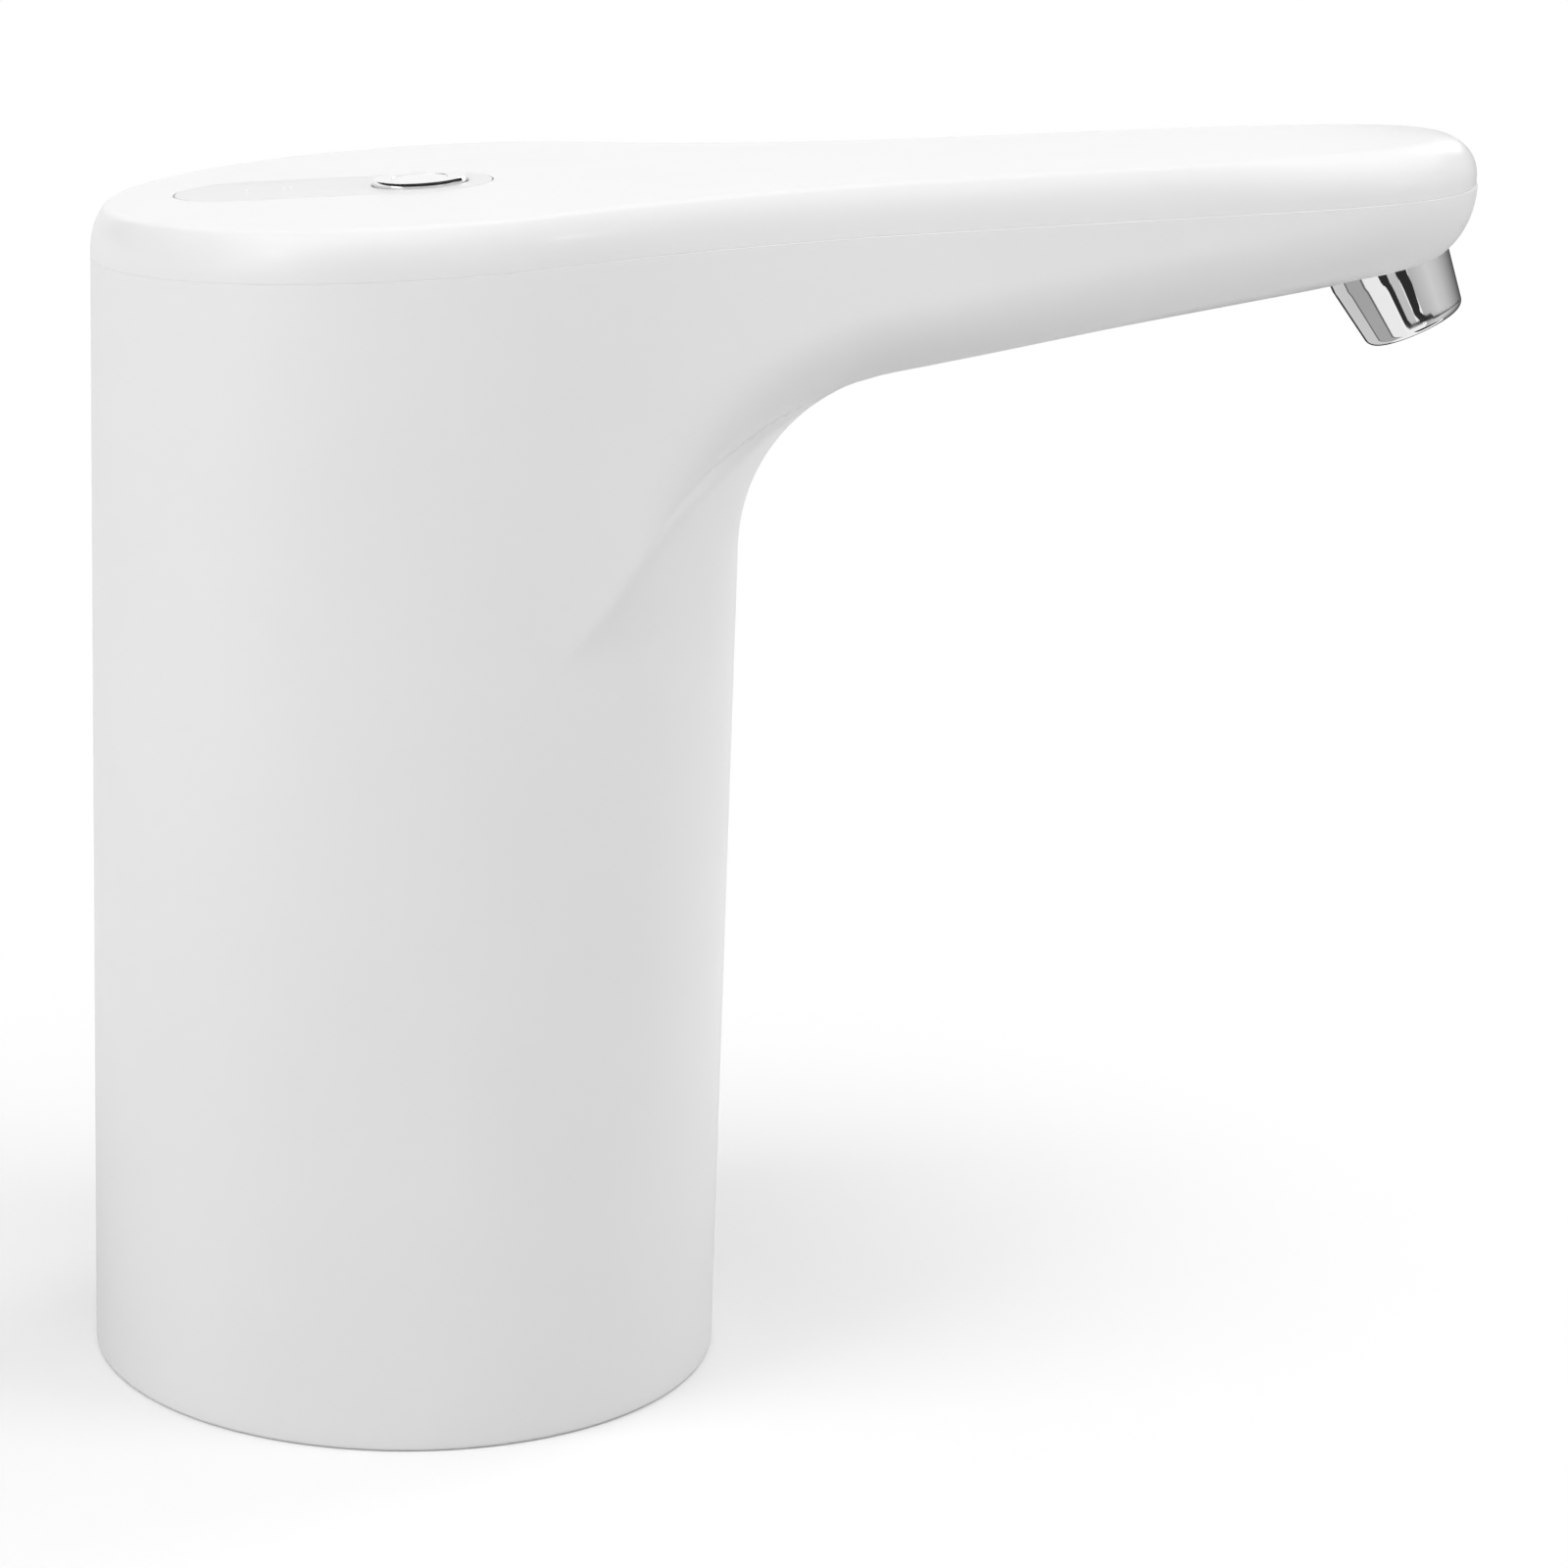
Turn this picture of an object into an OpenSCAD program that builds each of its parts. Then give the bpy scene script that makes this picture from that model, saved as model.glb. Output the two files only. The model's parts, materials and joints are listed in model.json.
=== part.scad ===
// Electric pump for a large drinking-water jug.
// The round body stands over the jug's neck and a flat spout reaches out over the cup.
// Frame: origin on the neck axis at the base rim, +X towards the spout's tip, +Z up.

/* [Body] */
// Outer diameter of the round body
body_d = 68; // [66:0.5:74]
// Wall of the body shell
body_wall = 2.2; // [1.8:0.1:2.6]
// Height of the parting line above the base, on the neck axis
part_h = 122.2; // [120:0.2:130]
// Rise of the top towards the spout, in degrees
top_tilt = 4.9; // [3:0.1:6]

/* [Spout] */
// Neck axis to the spout's tip
spout_reach = 109; // [104:0.5:116]
// Tip radius, seen from above
tip_r = 15.9; // [15:0.1:17]
// Radius of the hollow flanks between the body and the spout
flank_r = 92; // [84:1:110]
// Taper of each spout flank, in degrees
flank_taper = 4; // [3:0.25:5]
// Depth of the spout under the parting line at its root
root_depth = 15.4; // [14.8:0.1:17]
// Depth of the spout under the parting line at its tip
tip_depth = 8.5; // [8.2:0.1:9.2]
// Radius of the throat between the body's front and the spout's underside
throat_r = 20; // [17:0.5:22]
// Length over which the underside rounds up into the tip
tip_run = 8.5; // [7:0.1:10]
// How far the shoulders under the spout swell past the body's radius
shoulder = 9; // [7:0.5:11]
// Radius of the spout's rolled lower edges
edge_roll = 8; // [6:0.5:8.5]

/* [Cover] */
// Height of the cover above the parting line
cover_t = 5.1; // [5:0.1:6.5]
// Radius of the cover's bulging side, seen in section
cover_side_r = 7; // [6.5:0.1:9]
// Radius of the edge between the cover's side and its flat top
cover_edge_r = 1; // [0.6:0.1:1.4]
// Thickness of the cover's flat top
cover_skin = 1.8; // [1.6:0.1:2.2]
// Height of the cover's lip inside the body
lip_h = 3; // [2:0.1:3.2]
// Thickness of the cover's lip
lip_t = 1.2; // [1:0.1:1.6]

/* [Control panel] */
// Length of the oval panel
panel_l = 33; // [31:0.5:35]
// Width of the oval panel
panel_w = 15; // [14:0.5:16]
// Thickness of the panel
panel_t = 0.85; // [0.7:0.05:0.9]
// How far the panel's face lies under the cover's top
panel_drop = 0.15; // [0.1:0.05:0.25]
// Centre of the panel behind the neck axis
panel_back = 9.2; // [8.5:0.1:10]
// Diameter of the push button, over its bright ring
button_d = 9.7; // [9:0.1:10.2]
// Height of the button above the cover's top
button_rise = 0.5; // [0.3:0.1:0.8]
// Travel of the button
button_travel = 0.4; // [0.25:0.05:0.5]
// Diameter of an indicator light
lens_d = 0.5; // [0.4:0.05:0.6]

/* [Electronics] */
// Thickness of the circuit board
board_t = 1.2; // [1:0.1:1.6]
// Width of the circuit board
board_w = 24; // [22:0.5:25]
// Front end of the circuit board, ahead of the neck axis
board_front = 13.5; // [12.8:0.1:14.5]
// Rear end of the circuit board, behind the neck axis
board_rear = 27.5; // [26:0.1:28]
// Cover's top down to the board's upper face
board_drop = 7.5; // [7.3:0.1:8]
// Width of the charging socket
socket_w = 8.94; // [8.6:0.02:9.2]
// Height of the charging socket
socket_h = 3.26; // [3:0.02:3.4]
// Diameter of the battery cell
cell_d = 18.4; // [18:0.1:18.6]
// Length of the battery cell
cell_l = 65; // [63:0.5:66]

/* [Neck socket] */
// Bore of the neck seal in a body of the standard diameter
neck_bore = 56; // [54:0.1:57]
// Depth of the neck socket
neck_depth = 20; // [16:0.5:22]
// Underside of the base plate above the base
plate_z = 34; // [32:0.5:35]
// Thickness of the base plate
plate_t = 3; // [2.6:0.1:3.6]
// Outer diameter of the inlet spigot
spigot_d = 8; // [7:0.1:9]

/* [Pump and motor] */
// Teeth on each pump gear
gear_teeth = 12; // [12:1:13]
// Gear module
gear_module = 0.9; // [0.86:0.01:0.92]
// Face width of the gears
gear_w = 8; // [7:0.1:9]
// Diameter of the motor shaft
shaft_d = 2; // [1.6:0.1:2.3]
// Diameter of the idler pin
idler_d = 3; // [2.6:0.1:3.2]
// Diameter of the motor can
motor_d = 24.4; // [23:0.1:24.8]
// Length of the motor can
motor_l = 30; // [28:0.5:31]
// Outer diameter of the outlet hose
hose_d = 8; // [7:0.1:8.4]
// Bore of the outlet hose
hose_bore = 5; // [4.6:0.1:5.2]

/* [Nozzle] */
// Outer diameter of the nozzle where it leaves the spout
nozzle_d = 12.7; // [12:0.1:13.2]
// Outer diameter of the nozzle's lip
nozzle_tip_d = 10.7; // [10:0.1:11.4]
// Length of the nozzle below the spout
nozzle_l = 6.6; // [5.5:0.1:8]
// Bore of the nozzle
nozzle_bore = 7; // [6:0.1:7.6]
// Lean of the nozzle away from the body, in degrees
nozzle_lean = 27.5; // [24:0.5:30]

/* [Clearances] */
// Gap between fixed pieces that fit inside each other
fit_gap = 0.15; // [0.1:0.01:0.2]
// Radial gap of a shaft in its bush
run_gap = 0.04; // [0.02:0.01:0.08]
// Gap round the gears in their chamber
gear_gap = 0.1; // [0.06:0.01:0.15]
// Gap round the button in the panel
button_gap = 0.2; // [0.15:0.05:0.3]

/* [Hidden] */
$fn = 72;
eps = 0.01;

// Shell sections: each is level low down and leans with the top higher up.
// What lies against the wall moves out with it, by the body's growth past its standard diameter.
body_r = body_d / 2;
inner_r = body_r - body_wall;
standard_d = 68;
body_grow = (body_d - standard_d) / 2;
rise = tan(top_tilt);
top_h = part_h + cover_t;
lean_drop = 62;
lean_from = part_h - lean_drop;
lean_over = 35;
shoulder_drop = 40;
shoulder_from = part_h - shoulder_drop;
shoulder_over = 22;
shoulder_lead = 8;
roll_back = 9.5;
roll_from = body_r - roll_back;
roll_lead = 3;
roll_over = 30;
crease = 0.2;
crease_over = 25;
cover_side = 0.8;
cover_lean = asin((cover_t - cover_side - cover_edge_r) / (cover_side_r - cover_edge_r));
back_steps = 9;
front_steps = 26;
ledge_t = 2;
ledge_depth = 1.8;
ledge_r = inner_r - ledge_depth;

// Hollow flank arc, tangent to the round body and to the straight flank
flank_out = [sin(flank_taper), cos(flank_taper)];
flank_run = [cos(flank_taper), -sin(flank_taper)];
flank_q = [spout_reach - tip_r, 0] + (tip_r + flank_r) * flank_out;
flank_b = flank_q * flank_run;
flank_s = flank_b - sqrt(flank_b * flank_b - flank_q * flank_q + pow(body_r + flank_r, 2));
flank_c = flank_q - flank_s * flank_run;

// Underside line and the throat arc that joins it to the body's front
root_run = 14;
root_x = body_r + root_run;
root_z = part_h - root_depth;
keel_slope = (root_depth - tip_depth) / (spout_reach - tip_run - root_x);
keel_angle = atan(keel_slope);
throat_x = body_r + throat_r * (1 - sin(keel_angle));
throat_z = root_z + keel_slope * (throat_x - root_x);
throat_c = throat_z - throat_r * cos(keel_angle);
tip_soften = 6;
tip_power = 2.2;

// Panel, button and board, measured on the tilted top
panel_floor = panel_drop + panel_t;
panel_half = (panel_l - panel_w) / 2;
panel_x = -panel_back - body_grow;
button_x = panel_x + panel_half;
lens_step = 4.2;
lens_pair = 0.75;
lens_at = [
    [panel_x - panel_half, 0],
    [panel_x - panel_half + lens_step - lens_pair / 2, 0],
    [panel_x - panel_half + lens_step + lens_pair / 2, 0]
];
ring_t = 1.95;
button_r = button_d / 2;
cap_r = button_r - ring_t;
panel_hole_r = button_r + button_gap;
flange_edge = 0.6;
flange_r = panel_hole_r + flange_edge;
flange_t = 0.65;
flange_gap = 0.1;
flange_top = panel_floor + flange_gap;
flange_hole_r = flange_r + button_gap;
dish_edge = 0.2;
dish_r = cap_r - dish_edge;
dish_depth = 0.35;
dish_ball = (dish_r * dish_r + dish_depth * dish_depth) / (2 * dish_depth);
stem_r = 1.6;
switch_w = 6;
switch_h = 3.4;
plunger_r = 1.7;
plunger_out = 0.9;
plunger_top = board_drop - switch_h - plunger_out;
plunger_sunk = 0.8;
led_size = [0.6, 0.5, 0.4];
board_boss_r = 2.4;
board_boss_in = 2.6;
board_boss_front = 3.2;
board_boss_at = [
    [panel_x, board_w / 2 - board_boss_in],
    [panel_x, board_boss_in - board_w / 2],
    [board_front - board_boss_front, 0]
];
board_thread = 3.5;
board_gap = 0.4;
board_edge_r = inner_r - fit_gap - lip_t - board_gap;
board_tab = 2;
board_tab_w = 12;
socket_l = 7.3;
socket_wall = 0.35;
socket_back = 1.5;
socket_gap = 0.3;
socket_out = body_r - 0.1;
socket_mid = board_drop + board_t + socket_h / 2;
small_pilot_r = 0.8;
small_head_r = 1.9;

// Base plate and the bosses that hold it
seal_flange_t = 2;
seal_flange_in = 6;
bore_r = neck_bore / 2 + body_grow;
seal_flange_r = bore_r - seal_flange_in;
seal_top = neck_depth + seal_flange_t;
plate_top = plate_z + plate_t;
skirt_t = 1.6;
boss_r = 3.1;
boss_h = 12;
boss_set = 0.4;
boss_in = 4.4;
boss_ring_r = inner_r - boss_in;
base_thread = 8;
boss_angles = [-20, 95, 215];
screw_r = 1.5;
screw_pilot_r = 1.25;
screw_hole_r = 1.7;
screw_head_r = 2.8;
screw_head_h = 1.8;
head_pocket = 2;
head_gap = 0.3;
head_pocket_r = screw_head_r + head_gap;

// Gear pair: pitch circles touch on the line between inlet and outlet
gear_pressure = 25;
gear_backlash = 0.12;
gear_flank_steps = 5;
pitch_r = gear_module * gear_teeth / 2;
gear_tip_r = pitch_r + gear_module;
gear_root_r = pitch_r - 1.25 * gear_module;
gear_base_r = pitch_r * cos(gear_pressure);
chamber_r = gear_tip_r + gear_gap;
port_r = 3.2;
port_off = 6.3;
pump_x = port_off;
drive_at = [pump_x, -pitch_r];
driven_at = [pump_x, pitch_r];
outlet_port = [pump_x + port_off, 0];

// Pump stack, from the base plate up
pump_size = [26, 32];
pump_corner = 4;
pump_screw_off = [10, 12.8];
pump_screw_at = [
    for (sx = [-1, 1])
    for (sy = [-1, 1])
    [pump_x + sx * pump_screw_off.x, sy * pump_screw_off.y]
];
pump_thread = 6;
pump_thread_end = 2;
cover_plate_t = 3.5;
gasket_t = 0.5;
gasket_edge = 0.6;
cover_face = plate_top + cover_plate_t;
gear_z = cover_face + gear_gap;
chamber_top = gear_z + gear_w + gear_gap;
housing_z = cover_face + gasket_t;
housing_roof = 4.4;
housing_top = chamber_top + housing_roof;
shaft_r = shaft_d / 2;
idler_r = idler_d / 2;
seal_pocket_r = 3.2;
seal_pocket_floor = 0.5;
seal_pocket_z = chamber_top + seal_pocket_floor;
shaft_seal_t = 2;
idler_in = 3;
idler_top = chamber_top + idler_in;
idler_foot = 2;
spigot_r = spigot_d / 2;
spigot_up = 1.5;
spigot_low = seal_top + spigot_up;
spigot_bore_r = 2.5;
collar_r = 5.6;
inlet_hole_r = 7.2;
inlet_ring_r = 1;

// Motor
motor_r = motor_d / 2;
motor_z = housing_top;
motor_top = motor_z + motor_l;
can_t = 1;
can_face_t = 1.2;
bush_r = 2.4;
bush_l = 2.7;
bush_nose = 1.5;
nose_r = 3.1;
motor_screw_off = 9;
motor_screw_r = 1;
motor_screw_head_r = 1.8;
motor_screw_head_h = 1.2;
motor_screw_seat = 3;
magnet_t = 2.2;
magnet_arc = 130;
magnet_l = 19;
magnet_up = 4.8;
magnet_z = motor_z + magnet_up;
air_gap = 0.5;
armature_r = motor_r - can_t - fit_gap - magnet_t - air_gap;
armature_l = 17;
armature_z = magnet_z + 1;
armature_slots = 3;
slot_w = 1.6;
slot_depth = 4.6;
commutator_r = 2.8;
commutator_z = armature_z + armature_l;
commutator_l = 5;
cap_depth = 3.2;
cap_flange = 2;
cap_pocket_r = 5.4;
cap_pocket_z = motor_top + 0.4;
terminal_at = 7.5;
terminal_size = [0.5, 2.2, 4];

// Outlet hose: up beside the motor, round a bend, then along the spout
hose_r = hose_d / 2;
hose_x = 22.6;
outlet_spigot_gap = 0.1;
outlet_spigot_t = 0.8;
outlet_spigot_r = hose_bore / 2 - outlet_spigot_gap;
outlet_bore_r = outlet_spigot_r - outlet_spigot_t;
outlet_spigot_l = 8;
outlet_gallery_r = 2;
outlet_gallery_z = cover_face + gear_w / 2;
lug_size = [8.2, 9.6];
lug_lap = 1;
lug_corner = 3;
hose_gap = 0.5;
hose_low = housing_top + hose_gap;
hose_bend = 18;
hose_end_angle = 12.8;
hose_bend_drop = 23.2;
hose_bend_c = [hose_x + hose_bend, part_h - hose_bend_drop];
hose_sides = 12;

// Nozzle and the elbow that feeds it
nozzle_back = 8.3;
keel_x = spout_reach - nozzle_back;
nozzle_root = [keel_x, 0, root_z + keel_slope * (keel_x - root_x) + rise * keel_x];
nozzle_r = nozzle_d / 2;
nozzle_tip_r = nozzle_tip_d / 2;
nozzle_in = 3;
nozzle_lip = 0.9;
nozzle_bore_r = nozzle_bore / 2;
thread_t = 0.9;
thread_r = nozzle_bore_r + thread_t;
thread_l = 5;
elbow_t = 1.4;
elbow_bore_r = 2;
elbow_roof = 1.6;
oring_r = 0.6;
elbow_low = nozzle_in + 2 * oring_r;
elbow_len = thread_l + nozzle_in + elbow_roof - elbow_low;
elbow_back = 14;
elbow_up = 5.6;
elbow_gap = 4.2;
elbow_grip = 6;

// Battery and its cradle, close behind the pump
cell_r = cell_d / 2;
cradle_t = 1.2;
cradle_floor = 2.2;
cradle_r = cell_r + fit_gap + cradle_t;
cell_gap = 0.25;
cell_x = pump_x - pump_size.x / 2 - cell_gap - cell_r;
cell_z = plate_top + cradle_floor;
cradle_h = 46;
cradle_open = 9;
cradle_screw_at = [-5, 5];
cradle_thread = cradle_floor - 0.8;

function smooth(t) = let (u = min(max(t, 0), 1)) u * u * (3 - 2 * u);
function soft_min(a, b, k) = k < eps ? min(a, b) : min(a, b) - pow(max(k - abs(a - b), 0), 2) / (4 * k);

// Half-width of the plan outline at x, inset by e: round body, hollow flank, straight taper
function flank(x, e) =
    let (r = body_r - e)
    let (h = flank_r + e)
    let (x1 = flank_c.x * r / norm(flank_c))
    let (x2 = flank_c.x - h * flank_out.x)
    x < x1 ? sqrt(max(r * r - x * x, 0)) :
    x < x2 ? flank_c.y - sqrt(h * h - pow(x - flank_c.x, 2)) :
    flank_c.y - h * flank_out.y - tan(flank_taper) * (x - x2);

// Front reach of the section at level z: body, throat arc, underside line, rounded tip
function tip_reach(z) =
    let (d = min(max((part_h - z) / tip_depth, 0), 1))
    spout_reach - tip_run * (1 - pow(1 - pow(d, tip_power), 1 / tip_power));
function reach(z) =
    z <= throat_c ? body_r :
    z <= throat_z ? body_r + throat_r - sqrt(pow(throat_r, 2) - pow(z - throat_c, 2)) :
    soft_min(root_x + (z - root_z) / keel_slope, tip_reach(z), tip_soften);
function inner_reach(z) = min(reach(z) - body_wall, max(reach(z - body_wall), inner_r));

// Level of the spout's lower edge, which runs down the body's side behind the throat
function edge_level(x) =
    let (back = throat_x - (throat_x - x) * (throat_x - body_r) / (throat_x - roll_from))
    let (across = body_r + throat_r - max(back, body_r))
    x > throat_x ? root_z + keel_slope * (x - root_x) :
    throat_c + sqrt(max(pow(throat_r, 2) - pow(across, 2), 0));

// How far the rolled lower edge tucks the flank in at x and z
function tuck(x, z, e) =
    let (roll = edge_roll - e)
    let (under = 1 - min(max((z - edge_level(x) - e) / roll, 0), 1))
    roll * smooth((x - roll_from + roll_lead) / roll_over) * (1 - sqrt(1 - pow(under, 2)));

// Half-width of a section at x: the flank with its rolled edge, closed in front by a wide round nose
function half_width(x, z, e, front) =
    let (ramp = smooth((z - shoulder_from) / shoulder_over))
    let (swell = shoulder * ramp)
    let (nose = (body_r + swell - e) * sqrt(max(1 - pow(x / front, 2), 0)))
    let (blend = swell * (crease + (1 - crease) * smooth((x - throat_x) / crease_over)))
    max(soft_min(flank(x, e) - ramp * tuck(x, z, e), nose, blend), 0);
function level(x, z) = z + rise * x * smooth((z - lean_from) / lean_over);

function half_ring(z, e, front) = concat(
    [for (i = [0 : back_steps - 1]) let (a = 180 - 90 * i / back_steps) (body_r - e) * [cos(a), sin(a)]],
    [for (i = [0 : front_steps - 1])
        let (x = front * sin(90 * i / front_steps))
        [x, half_width(x, z, e, front)]],
    [[front, 0]]
);
function ring(z, e, front) =
    let (h = half_ring(z, e, front))
    let (n = len(h))
    concat(h, [for (i = [n - 2 : -1 : 1]) [h[i].x, -h[i].y]]);
function at_level(r, z, up) = [for (p = r) [p.x, p.y, level(p.x, z) + up]];

// Side faces between rings of n points, open or closed end to end
function band_faces(n, rings, closed) = [
    for (i = [0 : rings - (closed ? 1 : 2)])
    for (j = [0 : n - 1])
    let (a = i * n + j)
    let (b = i * n + (j + 1) % n)
    let (step = (i == rings - 1 ? 1 - rings : 1) * n)
    each [[a, b, b + step], [a, b + step, a + step]]
];

module ring_solid(rings, closed) {
    n = len(rings[0]);
    m = len(rings);
    caps = [[for (j = [n - 1 : -1 : 0]) j], [for (j = [0 : n - 1]) (m - 1) * n + j]];
    polyhedron([for (r = rings) each r], concat(band_faces(n, m, closed), closed ? [] : caps));
}

module on_top() {
    translate([0, 0, top_h]) rotate([0, -top_tilt, 0]) children();
}

module at_points(points) {
    for (p = points) translate([p.x, p.y, 0]) children();
}

module rounded_plate(size, r, h) {
    linear_extrude(h) {
        square([size.x - 2 * r, size.y], center = true);
        square([size.x, size.y - 2 * r], center = true);
        for (sx = [-1, 1]) {
            for (sy = [-1, 1]) {
                translate([sx * (size.x / 2 - r), sy * (size.y / 2 - r)]) circle(r);
            }
        }
    }
}

module oval(l, w, h) {
    linear_extrude(h) {
        square([l - w, w], center = true);
        for (s = [-1, 1]) translate([s * (l - w) / 2, 0]) circle(w / 2);
    }
}

// Pan-head screw pointing up, its head's top face at z = 0
module screw(shank_r, head_r, head_h, length) {
    cross = head_r * 1.1;
    difference() {
        union() {
            cylinder(r = head_r, h = head_h);
            cylinder(r = shank_r, h = head_h + length);
        }
        for (a = [0, 90]) rotate(a) translate([-cross / 2, -0.3, -eps]) cube([cross, 0.6, head_h * 0.55]);
    }
}

module body_bosses() {
    for (a = boss_angles) {
        rotate(a) translate([boss_ring_r, 0, plate_top + boss_set]) {
            cylinder(r = boss_r, h = boss_h);
            translate([0, -boss_r / 2, 0]) cube([inner_r - boss_ring_r + body_wall / 2, boss_r, boss_h]);
        }
    }
}

module body_shell() {
    outer_z = concat(
        [0, shoulder_from - shoulder_lead],
        [for (z = [shoulder_from - 2 : 1.6 : throat_z]) z],
        [for (i = [1 : 11]) throat_z + (part_h - tip_depth + 1 - throat_z) * i / 11],
        [for (i = [1 : 7]) part_h - (tip_depth - 1) * pow(1 - i / 7, 1.3)]
    );
    inner_z = [for (i = [0 : 17]) part_h - (shoulder_drop + shoulder_lead) * pow(i / 17, 1.15)];
    ledge = [
        [plate_top + ledge_t, body_wall],
        [plate_top + ledge_t, body_wall + ledge_depth],
        [plate_top, body_wall + ledge_depth],
        [plate_top, body_wall],
        [0, body_wall]
    ];
    rings = concat(
        [for (z = outer_z) at_level(ring(z, 0, reach(z)), z, 0)],
        [for (z = inner_z) at_level(ring(z, body_wall, inner_reach(z)), z, 0)],
        [for (s = ledge) at_level(ring(s[0], s[1], body_r - s[1]), s[0], 0)]
    );
    color("white") difference() {
        union() {
            ring_solid(rings, true);
            body_bosses();
        }
        for (a = boss_angles) {
            rotate(a) translate([boss_ring_r, 0, plate_top - eps])
                cylinder(r = screw_pilot_r, h = boss_h - 1);
        }
        on_top() translate([-socket_out, 0, -socket_mid]) rotate([0, 90, 0]) rotate(90)
            translate([0, 0, -body_wall])
            oval(socket_w + 2 * socket_gap, socket_h + 2 * socket_gap, 3 * body_wall);
        nozzle_frame() translate([0, 0, -2 * nozzle_in])
            cylinder(r = nozzle_r + fit_gap, h = 3 * nozzle_in);
    }
}

function cover_ring(up, e) = at_level(ring(part_h, e, spout_reach - e), part_h, up);

module top_cover() {
    lean_in = cover_side_r * (1 - cos(cover_lean));
    lip_out = body_wall + fit_gap;
    lip_in = lip_out + lip_t;
    ceiling = cover_t - cover_skin;
    rings = concat(
        [cover_ring(ceiling, lip_in), cover_ring(-lip_h, lip_in), cover_ring(-lip_h, lip_out)],
        [cover_ring(0, lip_out), cover_ring(0, 0)],
        [for (i = [0 : 4])
            let (a = cover_lean * i / 4)
            cover_ring(cover_side + cover_side_r * sin(a), cover_side_r * (1 - cos(a)))],
        [for (i = [1 : 3])
            let (a = cover_lean + (90 - cover_lean) * i / 3)
            cover_ring(cover_t - cover_edge_r * (1 - sin(a)), lean_in + cover_edge_r * (cos(cover_lean) - cos(a)))]
    );
    color("white") difference() {
        union() {
            ring_solid(rings, false);
            on_top() at_points(board_boss_at) translate([0, 0, -board_drop])
                cylinder(r = board_boss_r, h = board_drop - cover_skin / 2);
        }
        on_top() {
            translate([panel_x, 0, -panel_floor])
                oval(panel_l + 2 * fit_gap, panel_w + 2 * fit_gap, cover_t);
            translate([button_x, 0, -cover_t]) cylinder(r = flange_hole_r, h = cover_t);
            at_points(lens_at) translate([0, 0, -cover_t])
                cylinder(d = lens_d + 2 * run_gap, h = cover_t);
            at_points(board_boss_at) translate([0, 0, -board_drop - eps])
                cylinder(r = small_pilot_r, h = board_drop - cover_skin);
        }
    }
}

module control_panel() {
    color("gainsboro") on_top() translate([0, 0, -panel_floor]) difference() {
        translate([panel_x, 0, 0]) oval(panel_l, panel_w, panel_t);
        translate([button_x, 0, -eps]) cylinder(r = panel_hole_r, h = panel_t + 2 * eps);
        at_points(lens_at) translate([0, 0, -eps])
            cylinder(d = lens_d + 2 * run_gap, h = panel_t + 2 * eps);
    }
}

// Cap with a shallow finger dish, a retaining flange and a stem down to the switch
module power_button() {
    color("white") on_top() translate([button_x, 0, 0]) difference() {
        union() {
            translate([0, 0, -flange_top]) cylinder(r = cap_r, h = flange_top + button_rise);
            translate([0, 0, -flange_top - flange_t]) cylinder(r = flange_r, h = flange_t);
            translate([0, 0, -plunger_top]) cylinder(r = stem_r, h = plunger_top - flange_top);
        }
        translate([0, 0, button_rise - dish_depth + dish_ball]) sphere(dish_ball);
    }
}

module button_ring() {
    bevel = 0.2;
    color("silver") on_top() translate([button_x, 0, 0]) rotate_extrude() polygon([
        [cap_r, -flange_top],
        [button_r, -flange_top],
        [button_r, button_rise - bevel],
        [button_r - bevel, button_rise],
        [cap_r, button_rise]
    ]);
}

module indicator_lenses() {
    color("white") on_top() at_points(lens_at) translate([0, 0, -board_drop + led_size.z + 0.1])
        cylinder(d = lens_d, h = board_drop - led_size.z - 0.1 - panel_drop);
}

// Board with a tab over the charging socket, its outline kept clear of the round wall
module circuit_board() {
    board_end = board_rear + body_grow;
    board_l = board_front + board_end;
    color("seagreen") on_top() translate([0, 0, -board_drop - board_t]) difference() {
        intersection() {
            union() {
                translate([(board_front - board_end) / 2, 0, 0])
                    rounded_plate([board_l, board_w], 2, board_t);
                translate([-board_end - board_tab, -board_tab_w / 2, 0])
                    cube([board_tab + 2, board_tab_w, board_t]);
            }
            translate([0, 0, -eps]) cylinder(r = board_edge_r, h = board_t + 2 * eps);
        }
        at_points(board_boss_at) translate([0, 0, -eps])
            cylinder(r = small_pilot_r + 0.3, h = board_t + 2 * eps);
    }
}

module board_screws() {
    head_h = 1.2;
    color("silver") on_top() at_points(board_boss_at) translate([0, 0, -board_drop - board_t - head_h])
        screw(small_pilot_r, small_head_r, head_h, board_t + board_thread);
}

module tact_switch() {
    well = plunger_sunk + button_travel + 0.2;
    color("dimgray") on_top() translate([button_x, 0, -board_drop]) difference() {
        translate([-switch_w / 2, -switch_w / 2, 0]) cube([switch_w, switch_w, switch_h]);
        translate([0, 0, switch_h - well]) cylinder(r = plunger_r + fit_gap, h = well + eps);
    }
}

module switch_plunger() {
    low = board_drop - switch_h + plunger_sunk;
    color("black") on_top() translate([button_x, 0, -low]) cylinder(r = plunger_r, h = low - plunger_top);
}

module indicator_leds() {
    color("khaki") on_top() at_points(lens_at) translate([-led_size.x / 2, -led_size.y / 2, -board_drop])
        cube(led_size);
}

// Open-mouthed metal shell with its contact tongue, under the rear of the board
module charging_socket() {
    mouth = socket_l - socket_back;
    color("silver") on_top() translate([-socket_out, 0, -socket_mid]) rotate([0, 90, 0]) rotate(90) {
        difference() {
            oval(socket_w, socket_h, socket_l);
            translate([0, 0, -eps]) oval(socket_w - 2 * socket_wall, socket_h - 2 * socket_wall, mouth);
        }
        translate([-socket_w / 2 + 1.2, -0.35, 1]) cube([socket_w - 2.4, 0.7, mouth]);
    }
}

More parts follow.
